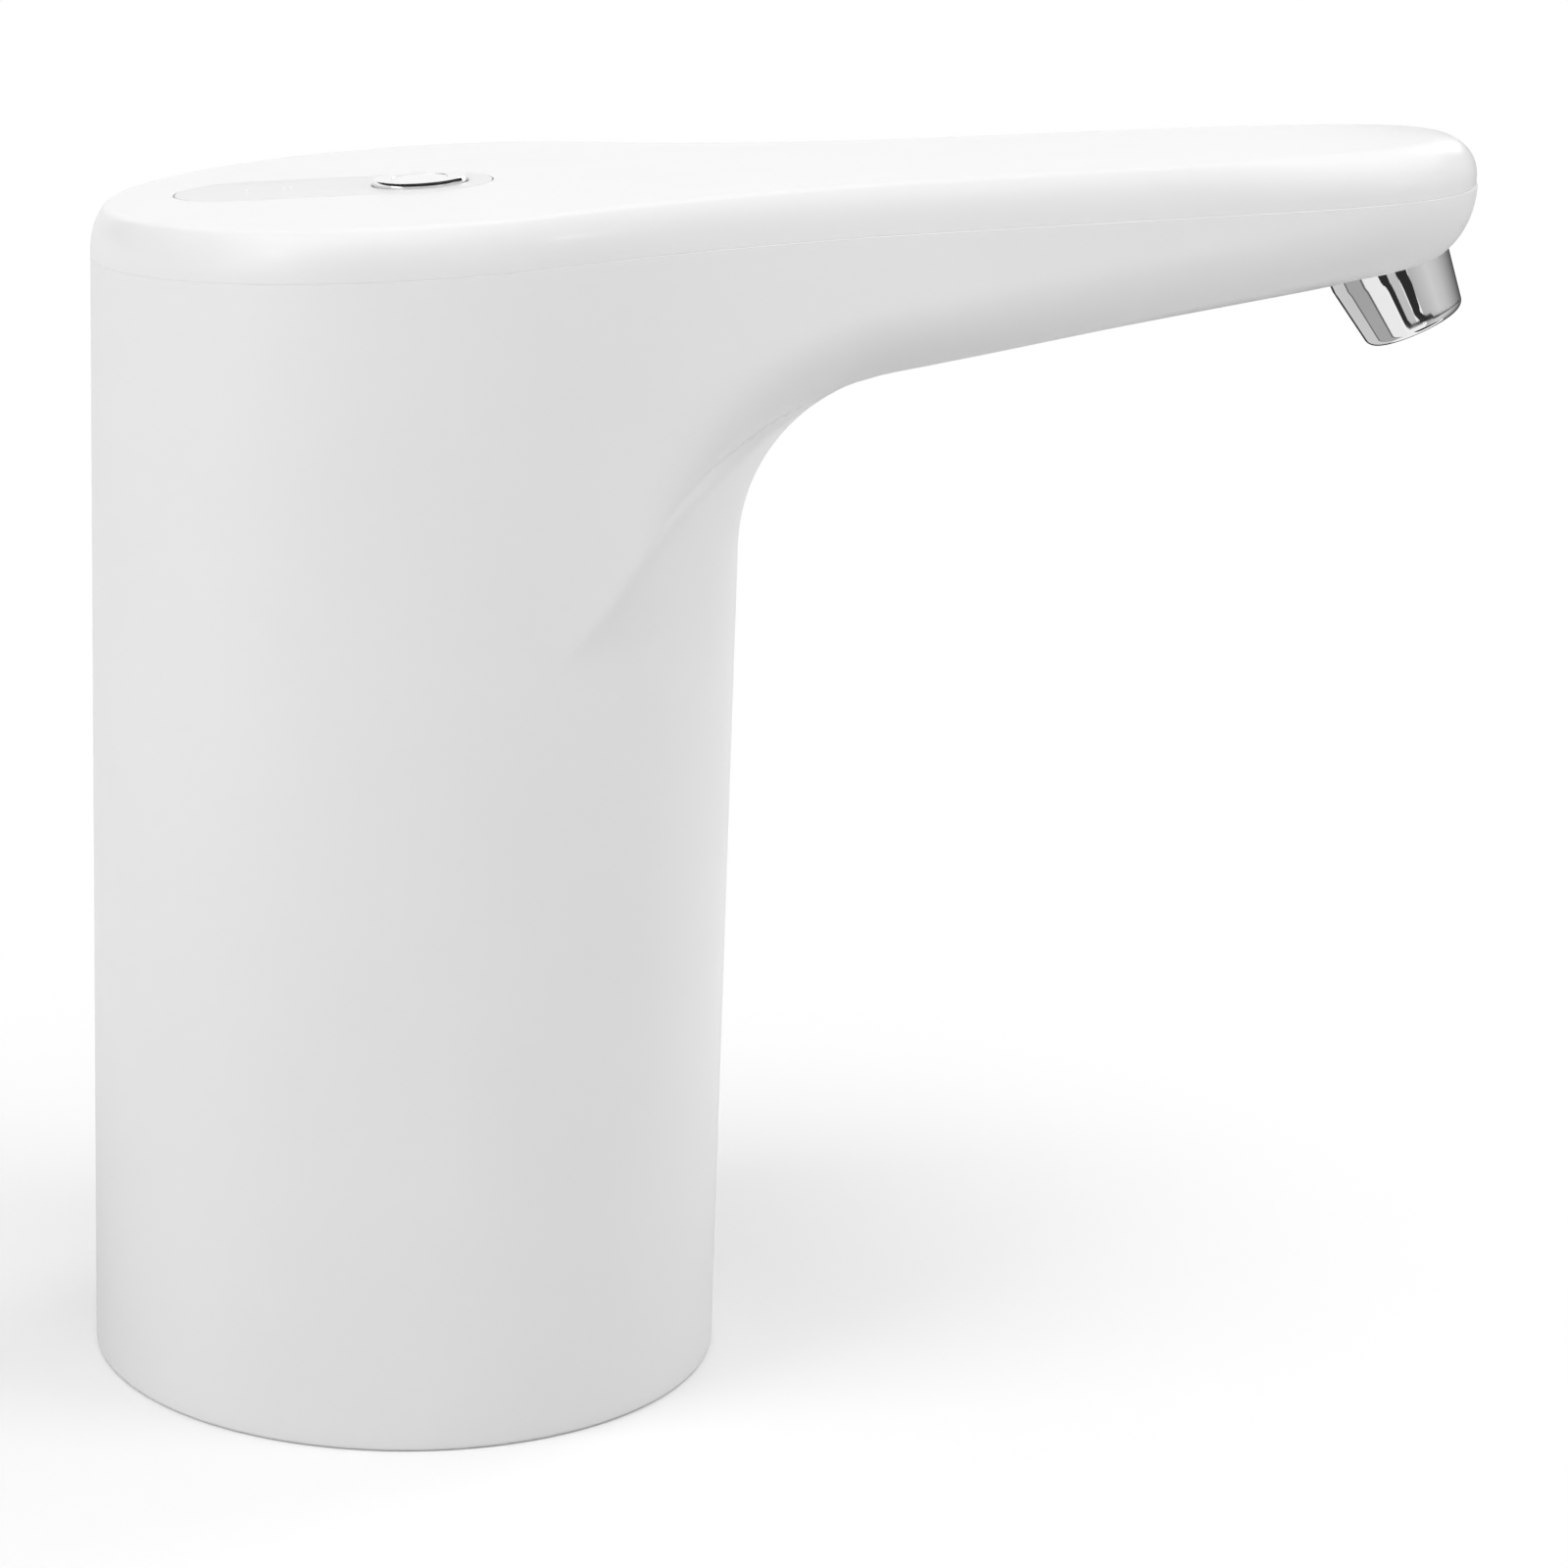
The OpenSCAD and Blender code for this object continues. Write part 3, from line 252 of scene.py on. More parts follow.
def edge_level(x):
    """Level of the spout's lower edge, which runs down the body's side behind the throat."""
    back = THROAT_X - (THROAT_X - x) * (THROAT_X - BODY_R) / (THROAT_X - ROLL_FROM)
    across = BODY_R + THROAT_R - np.maximum(back, BODY_R)
    beside = THROAT_C + np.sqrt(np.maximum(THROAT_R**2 - across**2, 0))
    return np.where(x > THROAT_X, ROOT_Z + KEEL_SLOPE * (x - ROOT_X), beside)


def half_width(x, z, inset, front):
    """The flank with its rolled lower edge, closed in front by a wide round nose."""
    ramp = float(smooth((z - SHOULDER_FROM) / SHOULDER_OVER))
    swell = SHOULDER * ramp
    roll = EDGE_ROLL - inset
    under = 1 - np.clip((z - edge_level(x) - inset) / roll, 0, 1)
    rolled = smooth((x - ROLL_FROM + ROLL_LEAD) / ROLL_OVER)
    tuck = roll * ramp * rolled * (1 - np.sqrt(1 - under**2))
    nose = (BODY_R + swell - inset) * np.sqrt(np.maximum(1 - (x / front) ** 2, 0))
    crease = swell * (CREASE + (1 - CREASE) * smooth((x - THROAT_X) / CREASE_OVER))
    return np.maximum(soft_min(flank(x, inset) - tuck, nose, crease), 0)


def section(z, inset, front, up=0.0):
    """One closed ring of the shell, leaning with the top higher up."""
    a = np.linspace(math.pi, math.pi / 2, BACK_STEPS + 1)[:-1]
    x = front * np.sin(np.linspace(0, math.pi / 2, FRONT_STEPS + 1))
    y = half_width(x, z, inset, front)
    y[-1] = 0
    px = np.concatenate([(BODY_R - inset) * np.cos(a), x])
    py = np.concatenate([(BODY_R - inset) * np.sin(a), y])
    px = np.concatenate([px, px[-2:0:-1]])
    py = np.concatenate([py, -py[-2:0:-1]])
    pz = z + up + RISE * px * float(smooth((z - LEAN_FROM) / LEAN_OVER))
    return np.stack([px, py, pz], axis=1)


def new_object(name, points, faces):
    """Mesh object from points in millimetres."""
    mesh = bpy.data.meshes.new(name)
    mesh.from_pydata([tuple(p) for p in np.asarray(points) * MM], [], faces)
    mesh.validate()
    obj = bpy.data.objects.new(name, mesh)
    bpy.context.scene.collection.objects.link(obj)
    return obj


def loft(name, rings, closed):
    """Skin over rings of equal length: a closed loop of rings, or an open stack with end caps."""
    n, m = len(rings[0]), len(rings)
    faces = []
    for i in range(m if closed else m - 1):
        for j in range(n):
            k = (j + 1) % n
            after = (i + 1) % m
            faces.append((i * n + k, i * n + j, after * n + j, after * n + k))
    if not closed:
        faces.append(tuple(range(n)))
        faces.append(tuple((m - 1) * n + j for j in reversed(range(n))))
    return new_object(name, np.concatenate(rings), faces)


def turned(name, profile, matrix, steps=LATHE_STEPS):
    """Solid of revolution about z. A profile that starts and ends on the axis is closed there."""
    on_axis = profile[0][0] < 1e-9
    body = profile[1:-1] if on_axis else profile
    angles = np.arange(steps) * 2 * math.pi / steps
    points = [(r * math.cos(a), r * math.sin(a), z) for r, z in body for a in angles]
    m = len(body)
    faces = []
    for i in range(m - 1 if on_axis else m):
        after = (i + 1) % m
        for j in range(steps):
            k = (j + 1) % steps
            faces.append((i * steps + j, i * steps + k, after * steps + k, after * steps + j))
    if on_axis:
        first, last = len(points), len(points) + 1
        points += [(0, 0, profile[0][1]), (0, 0, profile[-1][1])]
        for j in range(steps):
            k = (j + 1) % steps
            faces.append((first, k, j))
            faces.append((last, (m - 1) * steps + j, (m - 1) * steps + k))
    obj = new_object(name, points, faces)
    obj.data.transform(matrix)
    bm = bmesh.new()
    bm.from_mesh(obj.data)
    bmesh.ops.recalc_face_normals(bm, faces=bm.faces)
    bm.to_mesh(obj.data)
    bm.free()
    return obj


def plug(name, r, low, high, matrix, steps=CUTTER_STEPS):
    """Plain round cutter between two heights."""
    return turned(name, [(0, low), (r, low), (r, high), (0, high)], matrix, steps)


def arc(cx, cz, r, start, end, steps):
    """Points of a profile's round corner, in degrees from +r towards +z."""
    angles = np.radians(np.linspace(start, end, steps + 1))
    return [(cx + r * math.cos(a), cz + r * math.sin(a)) for a in angles]


def oval(length, width, z):
    """Ring of a straight-sided oval with round ends, at height z."""
    half, r = (length - width) / 2, width / 2
    angles = np.linspace(math.pi / 2, -math.pi / 2, OVAL_STEPS)
    right = [(half + r * math.cos(a), r * math.sin(a)) for a in angles]
    left = [(-x, -y) for x, y in right]
    return np.array([(x, y, z) for x, y in right + left])


def panel_ring(z, grow):
    """The panel's oval at a height over the tilted top, grown all round."""
    return oval(PANEL_L + 2 * grow, PANEL_W + 2 * grow, z) + np.array([PANEL_X, 0, 0])


def carve(obj, *cutters):
    """Cuts the cutters out of obj and deletes them."""
    for cutter in cutters:
        modifier = obj.modifiers.new("cut", "BOOLEAN")
        modifier.object = cutter
        modifier.operation = "DIFFERENCE"
        modifier.solver = "EXACT"
    depsgraph = bpy.context.evaluated_depsgraph_get()
    mesh = bpy.data.meshes.new_from_object(obj.evaluated_get(depsgraph))
    obj.modifiers.clear()
    old = obj.data
    obj.data = mesh
    mesh.name = obj.name
    bpy.data.meshes.remove(old)
    for cutter in cutters:
        old = cutter.data
        bpy.data.objects.remove(cutter)
        bpy.data.meshes.remove(old)


def smooth_shade(obj, sharp=34):
    """Smooth shading, kept sharp where faces meet at more than this many degrees."""
    obj.data.polygons.foreach_set("use_smooth", [True] * len(obj.data.polygons))
    obj.data.set_sharp_from_angle(angle=math.radians(sharp))


def make_body():
    """Body and spout in one moulding: up the outside, over the parting line, down to the ledge."""
    quarter = np.linspace(0, math.pi / 2, 7)
    rim = [(RIM_R * (1 - math.cos(a)), RIM_R * (1 - math.sin(a))) for a in quarter]
    blend_from = SHOULDER_FROM - BLEND_LEAD
    to_seam = np.linspace(1, 0, TIP_LEVELS)[1:] ** TIP_CROWD
    levels = np.concatenate([
        np.linspace(RIM_R + 1, blend_from - LEVEL_GAP, BODY_LEVELS),
        np.linspace(blend_from, THROAT_Z, BLEND_LEVELS),
        np.linspace(THROAT_Z, PART_H - TIP_DEPTH, SPOUT_LEVELS)[1:],
        PART_H - PART_BEVEL - (TIP_DEPTH - PART_BEVEL) * to_seam,
    ])
    rings = [section(z, e, BODY_R - e) for z, e in rim]
    rings += [section(z, 0, reach(z)) for z in levels]
    rings.append(section(PART_H, PART_BEVEL, REACH - PART_BEVEL))
    inner = np.linspace(PART_H, blend_from + LEVEL_GAP, INNER_LEVELS)
    rings += [section(z, WALL, inner_reach(z)) for z in inner]
    ledge = [(PLATE_TOP + LEDGE_T, WALL), (PLATE_TOP + LEDGE_T, WALL + LEDGE_DEPTH)]
    ledge += [(PLATE_TOP, WALL + LEDGE_DEPTH), (PLATE_TOP, WALL)]
    foot = [(RIM_R / 2, WALL), (0, WALL - RIM_R / 2)]
    rings += [section(z, e, BODY_R - e) for z, e in ledge + foot]
    body = loft("body_shell_moulding", rings, True)

    slot_w, slot_h = SOCKET_W + 2 * SOCKET_GAP, SOCKET_H + 2 * SOCKET_GAP
    depths = [(-6, SOCKET_FLARE), (-0.4, SOCKET_FLARE), (0.35, 0), (8, 0)]
    slot_rings = [oval(slot_w + 2 * e, slot_h + 2 * e, d) for d, e in depths]
    slot = loft("slot_cutter", slot_rings, False)
    turn = Matrix.Rotation(math.pi / 2, 4, "Y") @ Matrix.Rotation(math.pi / 2, 4, "Z")
    slot.data.transform(ON_TOP @ mm_matrix(SOCKET_FACE, 0, -SOCKET_MID) @ turn)
    hole = plug("hole_cutter", NOZZLE_R + FIT_GAP, -6, 4, AT_NOZZLE)
    carve(body, slot, hole)
    smooth_shade(body)
    return body


def make_cover():
    """Cover with its lip inside the shell, a rounded edge and the panel's recess."""
    def ring(up, inset):
        """Flush with the body behind, set in by a fine step along the spout."""
        flush = section(PART_H, inset, REACH - inset, up)
        inset += SEAM_STEP
        stepped = section(PART_H, inset, REACH - inset, up)
        return flush + (stepped - flush) * smooth(flush[:, :1] / SEAM_OVER)

    lip_out = WALL + FIT_GAP
    lip_in = lip_out + LIP_T
    rings = [ring(COVER_T - COVER_SKIN, lip_in), ring(-LIP_H, lip_in), ring(-LIP_H, lip_out)]
    rings += [ring(0, lip_out), ring(0, COVER_BEVEL), ring(COVER_BEVEL, 0)]

    # The edge's profile along the sides, and the fuller one that it becomes at the spout's tip
    lean = math.asin((COVER_T - COVER_SIDE - COVER_EDGE_R) / (COVER_SIDE_R - COVER_EDGE_R))
    lean_in = COVER_SIDE_R * (1 - math.cos(lean))
    crisp = [
        (COVER_SIDE + COVER_SIDE_R * math.sin(a), COVER_SIDE_R * (1 - math.cos(a)))
        for a in np.linspace(0, lean, 16)[:-1]
    ]
    crisp += [
        (COVER_T - COVER_EDGE_R * (1 - math.sin(a)),
         lean_in + COVER_EDGE_R * (math.cos(lean) - math.cos(a)))
        for a in np.linspace(lean, math.pi / 2, 14)
    ]
    full = [
        (COVER_SIDE + (COVER_T - COVER_SIDE) * math.sin(a), COVER_TIP_R * (1 - math.cos(a)))
        for a in np.linspace(0, math.pi / 2, len(crisp))
    ]
    for side, tip in zip(crisp, full):
        along = ring(*side)
        share = smooth((along[:, :1] - COVER_TIP_FROM) / COVER_TIP_OVER)
        rings.append(along + (ring(*tip) - along) * share)
    cover = loft("top_cover_moulding", rings, False)

    steps = [(PANEL_FLOOR, 0), (-0.04, 0), (0, RECESS_EDGE), (0.4, RECESS_EDGE)]
    recess = loft("recess_cutter", [panel_ring(z, FIT_GAP + e) for z, e in steps], False)
    recess.data.transform(ON_TOP)
    well = plug("well_cutter", FLANGE_R + BUTTON_GAP, -COVER_T, -0.5, ON_BUTTON)
    carve(cover, recess, well)
    smooth_shade(cover)
    return cover


def lens_places():
    """One lens by itself and a close pair."""
    first = PANEL_X - PANEL_HALF
    return [first, first + LENS_STEP - LENS_PAIR / 2, first + LENS_STEP + LENS_PAIR / 2]


def make_panel():
    """Oval plate with a softened edge, and holes for the button and the lenses."""
    profile = [(PANEL_FLOOR, 0)]
    for a in np.linspace(0, math.pi / 2, 6):
        z = PANEL_TOP - PANEL_EDGE * (1 - math.sin(a))
        profile.append((z, -PANEL_EDGE * (1 - math.cos(a))))
    panel = loft("control_panel_plate", [panel_ring(z, e) for z, e in profile], False)
    panel.data.transform(ON_TOP)
    low, high = -2, 1
    bevel, past = 0.12, 0.02
    hole_r = BUTTON_R + BUTTON_GAP
    wide_r = hole_r + bevel + past
    hole = turned("hole_cutter", [
        (0, low), (hole_r, low), (hole_r, PANEL_TOP - bevel),
        (wide_r, PANEL_TOP + past), (wide_r, high), (0, high),
    ], ON_BUTTON)
    dots = [
        plug("dot_cutter", LENS_HOLE_R, low, high, ON_TOP @ mm_matrix(x, 0, 0), DOT_STEPS)
        for x in lens_places()
    ]
    carve(panel, hole, *dots)
    smooth_shade(panel)
    return panel


def make_button():
    """White cap with a shallow finger dish, on the flange and stem that hold it."""
    dish_r = CAP_R - CAP_EDGE
    top = BUTTON_RISE - CAP_DROP
    profile = [(dish_r * t, top - DISH_DEPTH * (1 - t * t)) for t in np.linspace(0, 1, 14)]
    profile += arc(dish_r, top - CAP_EDGE, CAP_EDGE, 90, 0, 5)[1:]
    profile += [(CAP_R, FLANGE_TOP), (FLANGE_R, FLANGE_TOP), (FLANGE_R, FLANGE_LOW)]
    profile += [(STEM_R, FLANGE_LOW), (STEM_R, STEM_LOW), (0, STEM_LOW)]
    cap = turned("power_button_cap", profile, ON_BUTTON)
    smooth_shade(cap, 40)
    return cap


def make_ring():
    """Bright ring round the cap: a wall that leans in above its foot, a flat top, rolled edges."""
    edge, roll, foot, fit = 0.1, 0.12, 0.2, 0.02
    lean = math.radians(14)
    inner = CAP_R + fit
    low, foot_top = FLANGE_TOP + fit, PANEL_TOP + foot
    profile = [(inner, low), (BUTTON_R, low), (BUTTON_R, foot_top - fit), (BUTTON_R, foot_top)]
    wall = BUTTON_RISE - foot_top - edge * (1 - math.sin(lean))
    across = BUTTON_R - wall * math.tan(lean) - edge * math.cos(lean)
    profile += arc(across, BUTTON_RISE - edge, edge, math.degrees(lean), 90, 8)
    profile += arc(inner + roll, BUTTON_RISE - roll, roll, 90, 180, 6)
    ring = turned("button_ring_bright", profile, ON_BUTTON)
    smooth_shade(ring, 40)
    return ring


def make_lenses():
    """Three small frosted domes in the panel's holes."""
    r = LENS_HOLE_R - LENS_FIT
    quarter = np.linspace(0, math.pi / 2, 9)
    profile = [(r * math.sin(a), PANEL_TOP + LENS_RISE * math.cos(a)) for a in quarter]
    profile += [(r, PANEL_FLOOR), (0, PANEL_FLOOR)]
    lenses = [
        turned("lens_dome", profile, ON_TOP @ mm_matrix(x, 0, 0), DOT_STEPS)
        for x in lens_places()
    ]
    for lens in lenses:
        smooth_shade(lens, 40)
    return lenses


def make_nozzle():
    """Tapered tip with a rolled lip, a plain bore and the stub inside the spout."""
    lip, edge = NOZZLE_LIP, NOZZLE_BORE_EDGE
    taper = math.atan((NOZZLE_R - NOZZLE_TIP_R) / (NOZZLE_L - lip))
    side_l = NOZZLE_L - lip * (1 - math.sin(taper))
    back = -NOZZLE_IN - NOZZLE_THREAD_L
    profile = [(NOZZLE_BORE_R, back), (NOZZLE_THREAD_R, back)]
    profile += [(NOZZLE_THREAD_R, -NOZZLE_IN), (NOZZLE_R, -NOZZLE_IN)]
    side = [*np.linspace(0, 0.95, 12), 0.99, 1]
    profile += [(NOZZLE_R - math.tan(taper) * side_l * t, side_l * t) for t in side]
    lip_r = NOZZLE_R - math.tan(taper) * side_l - lip * math.cos(taper)
    profile += arc(lip_r, NOZZLE_L - lip, lip, math.degrees(taper), 90, 14)[1:]
    profile += arc(NOZZLE_BORE_R + edge, NOZZLE_L - edge, edge, 90, 180, 5)
    nozzle = turned("nozzle_bright", profile, AT_NOZZLE)
    smooth_shade(nozzle, 50)
    return nozzle


def add_node(owner, kind, **settings):
    """New shader node in a material's or world's tree."""
    node = owner.node_tree.nodes.new(kind)
    for key, value in settings.items():
        setattr(node, key, value)
    return node


# Sockets of a Mix node that mixes colours
MIX_FACTOR, MIX_FIRST, MIX_SECOND, MIX_RESULT = 0, 6, 7, 2


class Paint:
    """A procedural material: sockets set directly, then texture detail in object space."""

    def __init__(self, name, **sockets):
        self.material = bpy.data.materials.new(name)
        self.material.use_nodes = True
        self.links = self.material.node_tree.links
        self.shader = self.material.node_tree.nodes["Principled BSDF"]
        self.coordinates = self.node("ShaderNodeTexCoord").outputs["Object"]
        self.base = None
        self.last_bump = None
        for key, value in sockets.items():
            self.shader.inputs[key.replace("_", " ")].default_value = value

    def node(self, kind, **settings):
        return add_node(self.material, kind, **settings)

    def place(self, stretch):
        if stretch is None:
            return self.coordinates
        mapping = self.node("ShaderNodeMapping")
        mapping.inputs["Scale"].default_value = stretch
        self.links.new(self.coordinates, mapping.inputs["Vector"])
        return mapping.outputs["Vector"]

    def noise(self, size_mm, detail, stretch=None):
        node = self.node("ShaderNodeTexNoise")
        node.inputs["Scale"].default_value = 1 / (size_mm * MM)
        node.inputs["Detail"].default_value = detail
        self.links.new(self.place(stretch), node.inputs["Vector"])
        return node.outputs["Fac"]

    def ramp(self, value, low, high):
        """Spreads the middle of a noise over a range."""
        node = self.node("ShaderNodeMapRange")
        node.inputs["From Min"].default_value = 0.3
        node.inputs["From Max"].default_value = 0.7
        node.inputs["To Min"].default_value = low
        node.inputs["To Max"].default_value = high
        self.links.new(value, node.inputs["Value"])
        return node.outputs["Result"]

    def roughness(self, value, low, high):
        self.links.new(self.ramp(value, low, high), self.shader.inputs["Roughness"])

    def colour(self, value, low, high):
        """Base colour between two tones."""
        mix = self.node("ShaderNodeMix", data_type="RGBA")
        mix.inputs[MIX_FIRST].default_value = (*low, 1)
        mix.inputs[MIX_SECOND].default_value = (*high, 1)
        self.links.new(self.ramp(value, 0, 1), mix.inputs[MIX_FACTOR])
        self.base = mix.outputs[MIX_RESULT]
        self.links.new(self.base, self.shader.inputs["Base Color"])

    def bump(self, value, depth_mm, strength):
        node = self.node("ShaderNodeBump")
        node.inputs["Strength"].default_value = strength
        node.inputs["Distance"].default_value = depth_mm * MM
        self.links.new(value, node.inputs["Height"])
        if self.last_bump is not None:
            self.links.new(self.last_bump, node.inputs["Normal"])
        self.last_bump = node.outputs["Normal"]
        self.links.new(self.last_bump, self.shader.inputs["Normal"])

    def specks(self, cell_mm, size_mm, tone):
        """A few tiny dark specks, one in some of the cells, over the base colour."""
        cells = self.node("ShaderNodeTexVoronoi")
        cells.inputs["Scale"].default_value = 1 / (cell_mm * MM)
        self.links.new(self.coordinates, cells.inputs["Vector"])
        inside = self.node("ShaderNodeMath", operation="LESS_THAN")
        inside.inputs[1].default_value = size_mm / cell_mm
        self.links.new(cells.outputs["Distance"], inside.inputs[0])
        over = self.node("ShaderNodeMix", data_type="RGBA")
        over.inputs[MIX_SECOND].default_value = (*tone, 1)
        self.links.new(inside.outputs[0], over.inputs[MIX_FACTOR])
        self.links.new(self.base, over.inputs[MIX_FIRST])
        self.base = over.outputs[MIX_RESULT]
        self.links.new(self.base, self.shader.inputs["Base Color"])


def grey(v, warm=0.0):
    return (v + warm, v, v - warm)


def moulded_plastic(name, tone, gloss, grain_mm=0.7, depth_mm=0.006, spread=0.012):
    """Moulded plastic: a faint cloud in the tone, a fine spark-eroded grain and uneven gloss."""
    paint = Paint(name, Specular_IOR_Level=0.5)
    low = tuple(c - spread for c in tone)
    high = tuple(min(c + spread, 1) for c in tone)
    paint.colour(paint.noise(38, 3), low, high)
    paint.roughness(paint.noise(9, 4), gloss - 0.04, gloss + 0.04)
    paint.bump(paint.noise(grain_mm, 3), depth_mm, 0.5)
    return paint


def shell_white(name, gloss, sheen=0.0):
    """White shell plastic with a few dark specks, and a thin clear sheen where it is polished."""
    paint = moulded_plastic(name, grey(0.845), gloss)
    paint.shader.inputs["Coat Weight"].default_value = sheen
    paint.shader.inputs["Coat Roughness"].default_value = 0.1
    paint.specks(26, 0.14, grey(0.45))
    return paint


def bright_metal(name, tone, gloss, brushed=None):
    """Plated or drawn metal, with brush lines where a stretch for them is given."""
    paint = Paint(name, Metallic=1.0)
    paint.colour(paint.noise(6, 2), tuple(c * 0.97 for c in tone), tone)
    if brushed:
        lines = paint.noise(0.6, 3, brushed)
        paint.roughness(lines, *gloss)
        paint.bump(lines, 0.004, 0.4)
    else:
        paint.roughness(paint.noise(2.4, 4), *gloss)
        paint.bump(paint.noise(1.6, 2), 0.0006, 0.3)
    return paint


def soft_rubber(name, tone, gloss):
    paint = Paint(name, Specular_IOR_Level=0.35, Sheen_Weight=0.08, Sheen_Roughness=0.5)
    paint.colour(paint.noise(7, 3), tuple(c * 0.94 for c in tone), tone)
    paint.roughness(paint.noise(1.5, 3), gloss - 0.06, gloss + 0.06)
    paint.bump(paint.noise(0.35, 2), 0.01, 0.5)
    return paint


def frosted_resin(name):
    paint = Paint(name, IOR=1.49, Transmission_Weight=0.08, Specular_IOR_Level=0.5)
    paint.colour(paint.noise(0.4, 2), grey(0.93), grey(0.99))
    paint.roughness(paint.noise(0.3, 2), 0.25, 0.4)
    return paint


def circuit_green(name):
    paint = Paint(name, Specular_IOR_Level=0.5, Coat_Weight=0.25, Coat_Roughness=0.2)
    paint.colour(paint.noise(1.2, 1), (0.015, 0.11, 0.05), (0.03, 0.19, 0.08))
    paint.roughness(paint.noise(2, 3), 0.3, 0.42)
    paint.bump(paint.noise(0.8, 1, (1, 3, 1)), 0.02, 0.4)
    return paint


def shrink_sleeve(name):
    paint = Paint(name, Specular_IOR_Level=0.5, Coat_Weight=0.3, Coat_Roughness=0.15)
    paint.colour(paint.noise(14, 3), (0.02, 0.07, 0.30), (0.03, 0.10, 0.38))
    paint.roughness(paint.noise(3, 3), 0.24, 0.36)
    paint.bump(paint.noise(2.2, 2, (1, 1, 0.3)), 0.03, 0.4)
    return paint


# By the record's material slots
PAINTS = {
    "shell_white": shell_white("white_shell_plastic", gloss=0.42),
    "cover_white": shell_white("white_cover_plastic", gloss=0.37, sheen=0.15),
    "panel_grey": moulded_plastic(
        "pale_panel_plastic", grey(0.765), gloss=0.34, grain_mm=0.4, depth_mm=0.003, spread=0.008),
    "button_white": moulded_plastic(
        "button_cap_plastic", grey(0.84), gloss=0.36, grain_mm=0.4, depth_mm=0.002, spread=0.006),
    "bright_chrome": bright_metal("polished_chrome", (0.86, 0.86, 0.87), (0.02, 0.05)),
    "lens_clear": frosted_resin("frosted_lens"),
    "board_green": circuit_green("solder_mask_green"),
    "screw_steel": bright_metal("plated_steel", (0.60, 0.60, 0.62), (0.22, 0.36)),
    "switch_black": moulded_plastic(
        "black_switch_plastic", grey(0.035), gloss=0.5, grain_mm=0.3, depth_mm=0.01, spread=0.008),
    "led_white": frosted_resin("led_resin"),
    "socket_steel": bright_metal(
        "drawn_socket_steel", (0.66, 0.66, 0.67), (0.18, 0.32), brushed=(1, 1, 8)),
    "cell_wrap": shrink_sleeve("battery_sleeve"),
    "inner_plastic": moulded_plastic(
        "inner_white_plastic", grey(0.78, 0.006), gloss=0.5, grain_mm=0.6, depth_mm=0.012,
        spread=0.015),
    "can_steel": bright_metal(
        "drawn_can_steel", (0.62, 0.62, 0.63), (0.2, 0.34), brushed=(1, 1, 10)),
    "contact_brass": bright_metal("contact_brass", (0.72, 0.50, 0.22), (0.2, 0.34)),
    "magnet_dark": moulded_plastic(
        "sintered_magnet", grey(0.06), gloss=0.6, grain_mm=0.3, depth_mm=0.03, spread=0.015),
    "core_steel": bright_metal(
        "laminated_core", (0.34, 0.33, 0.32), (0.35, 0.5), brushed=(0.05, 0.05, 6)),
    "gear_plastic": moulded_plastic(
        "acetal_gear", grey(0.84, 0.012), gloss=0.4, grain_mm=0.5, depth_mm=0.008, spread=0.012),
    "seal_black": soft_rubber("black_rubber", grey(0.03), gloss=0.6),
    "hose_silicone": soft_rubber("clear_silicone", grey(0.80), gloss=0.4),
    "seal_silicone": soft_rubber("grey_silicone", grey(0.70), gloss=0.55),
}


def dress():
    """Materials for the CAD nodes, and the finer pieces that stand for some of them."""
    slots = {row["node"]: row["material_slot"] for row in frame["record"]["subparts"]}
    for name, obj in frame["nodes"].items():
        obj.data.materials.clear()
        obj.data.materials.append(PAINTS[slots[name]].material)
        smooth_shade(obj, 30)
    made = [
        (make_body(), "body_shell", "housing"),
        (make_cover(), "top_cover", "housing"),
        (make_panel(), "control_panel", "housing"),
        (make_button(), "power_button", "button"),
        (make_ring(), "button_ring", "button"),
        (make_nozzle(), "nozzle", "housing"),
    ]
    made += [(lens, "indicator_lenses", "housing") for lens in make_lenses()]
    for piece, node, body in made:
        piece.data.materials.clear()
        piece.data.materials.append(PAINTS[slots[node]].material)
        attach(piece, body)
        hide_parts(node)


def seen_directly(owner):
    """One for rays that show a surface: from the camera, in a mirror or through glass."""
    path = add_node(owner, "ShaderNodeLightPath")
    seen = path.outputs["Is Camera Ray"]
    for kind in ("Is Glossy Ray", "Is Transmission Ray"):
        either = add_node(owner, "ShaderNodeMath", operation="MAXIMUM")
        owner.node_tree.links.new(seen, either.inputs[0])
        owner.node_tree.links.new(path.outputs[kind], either.inputs[1])
        seen = either.outputs[0]
    return seen


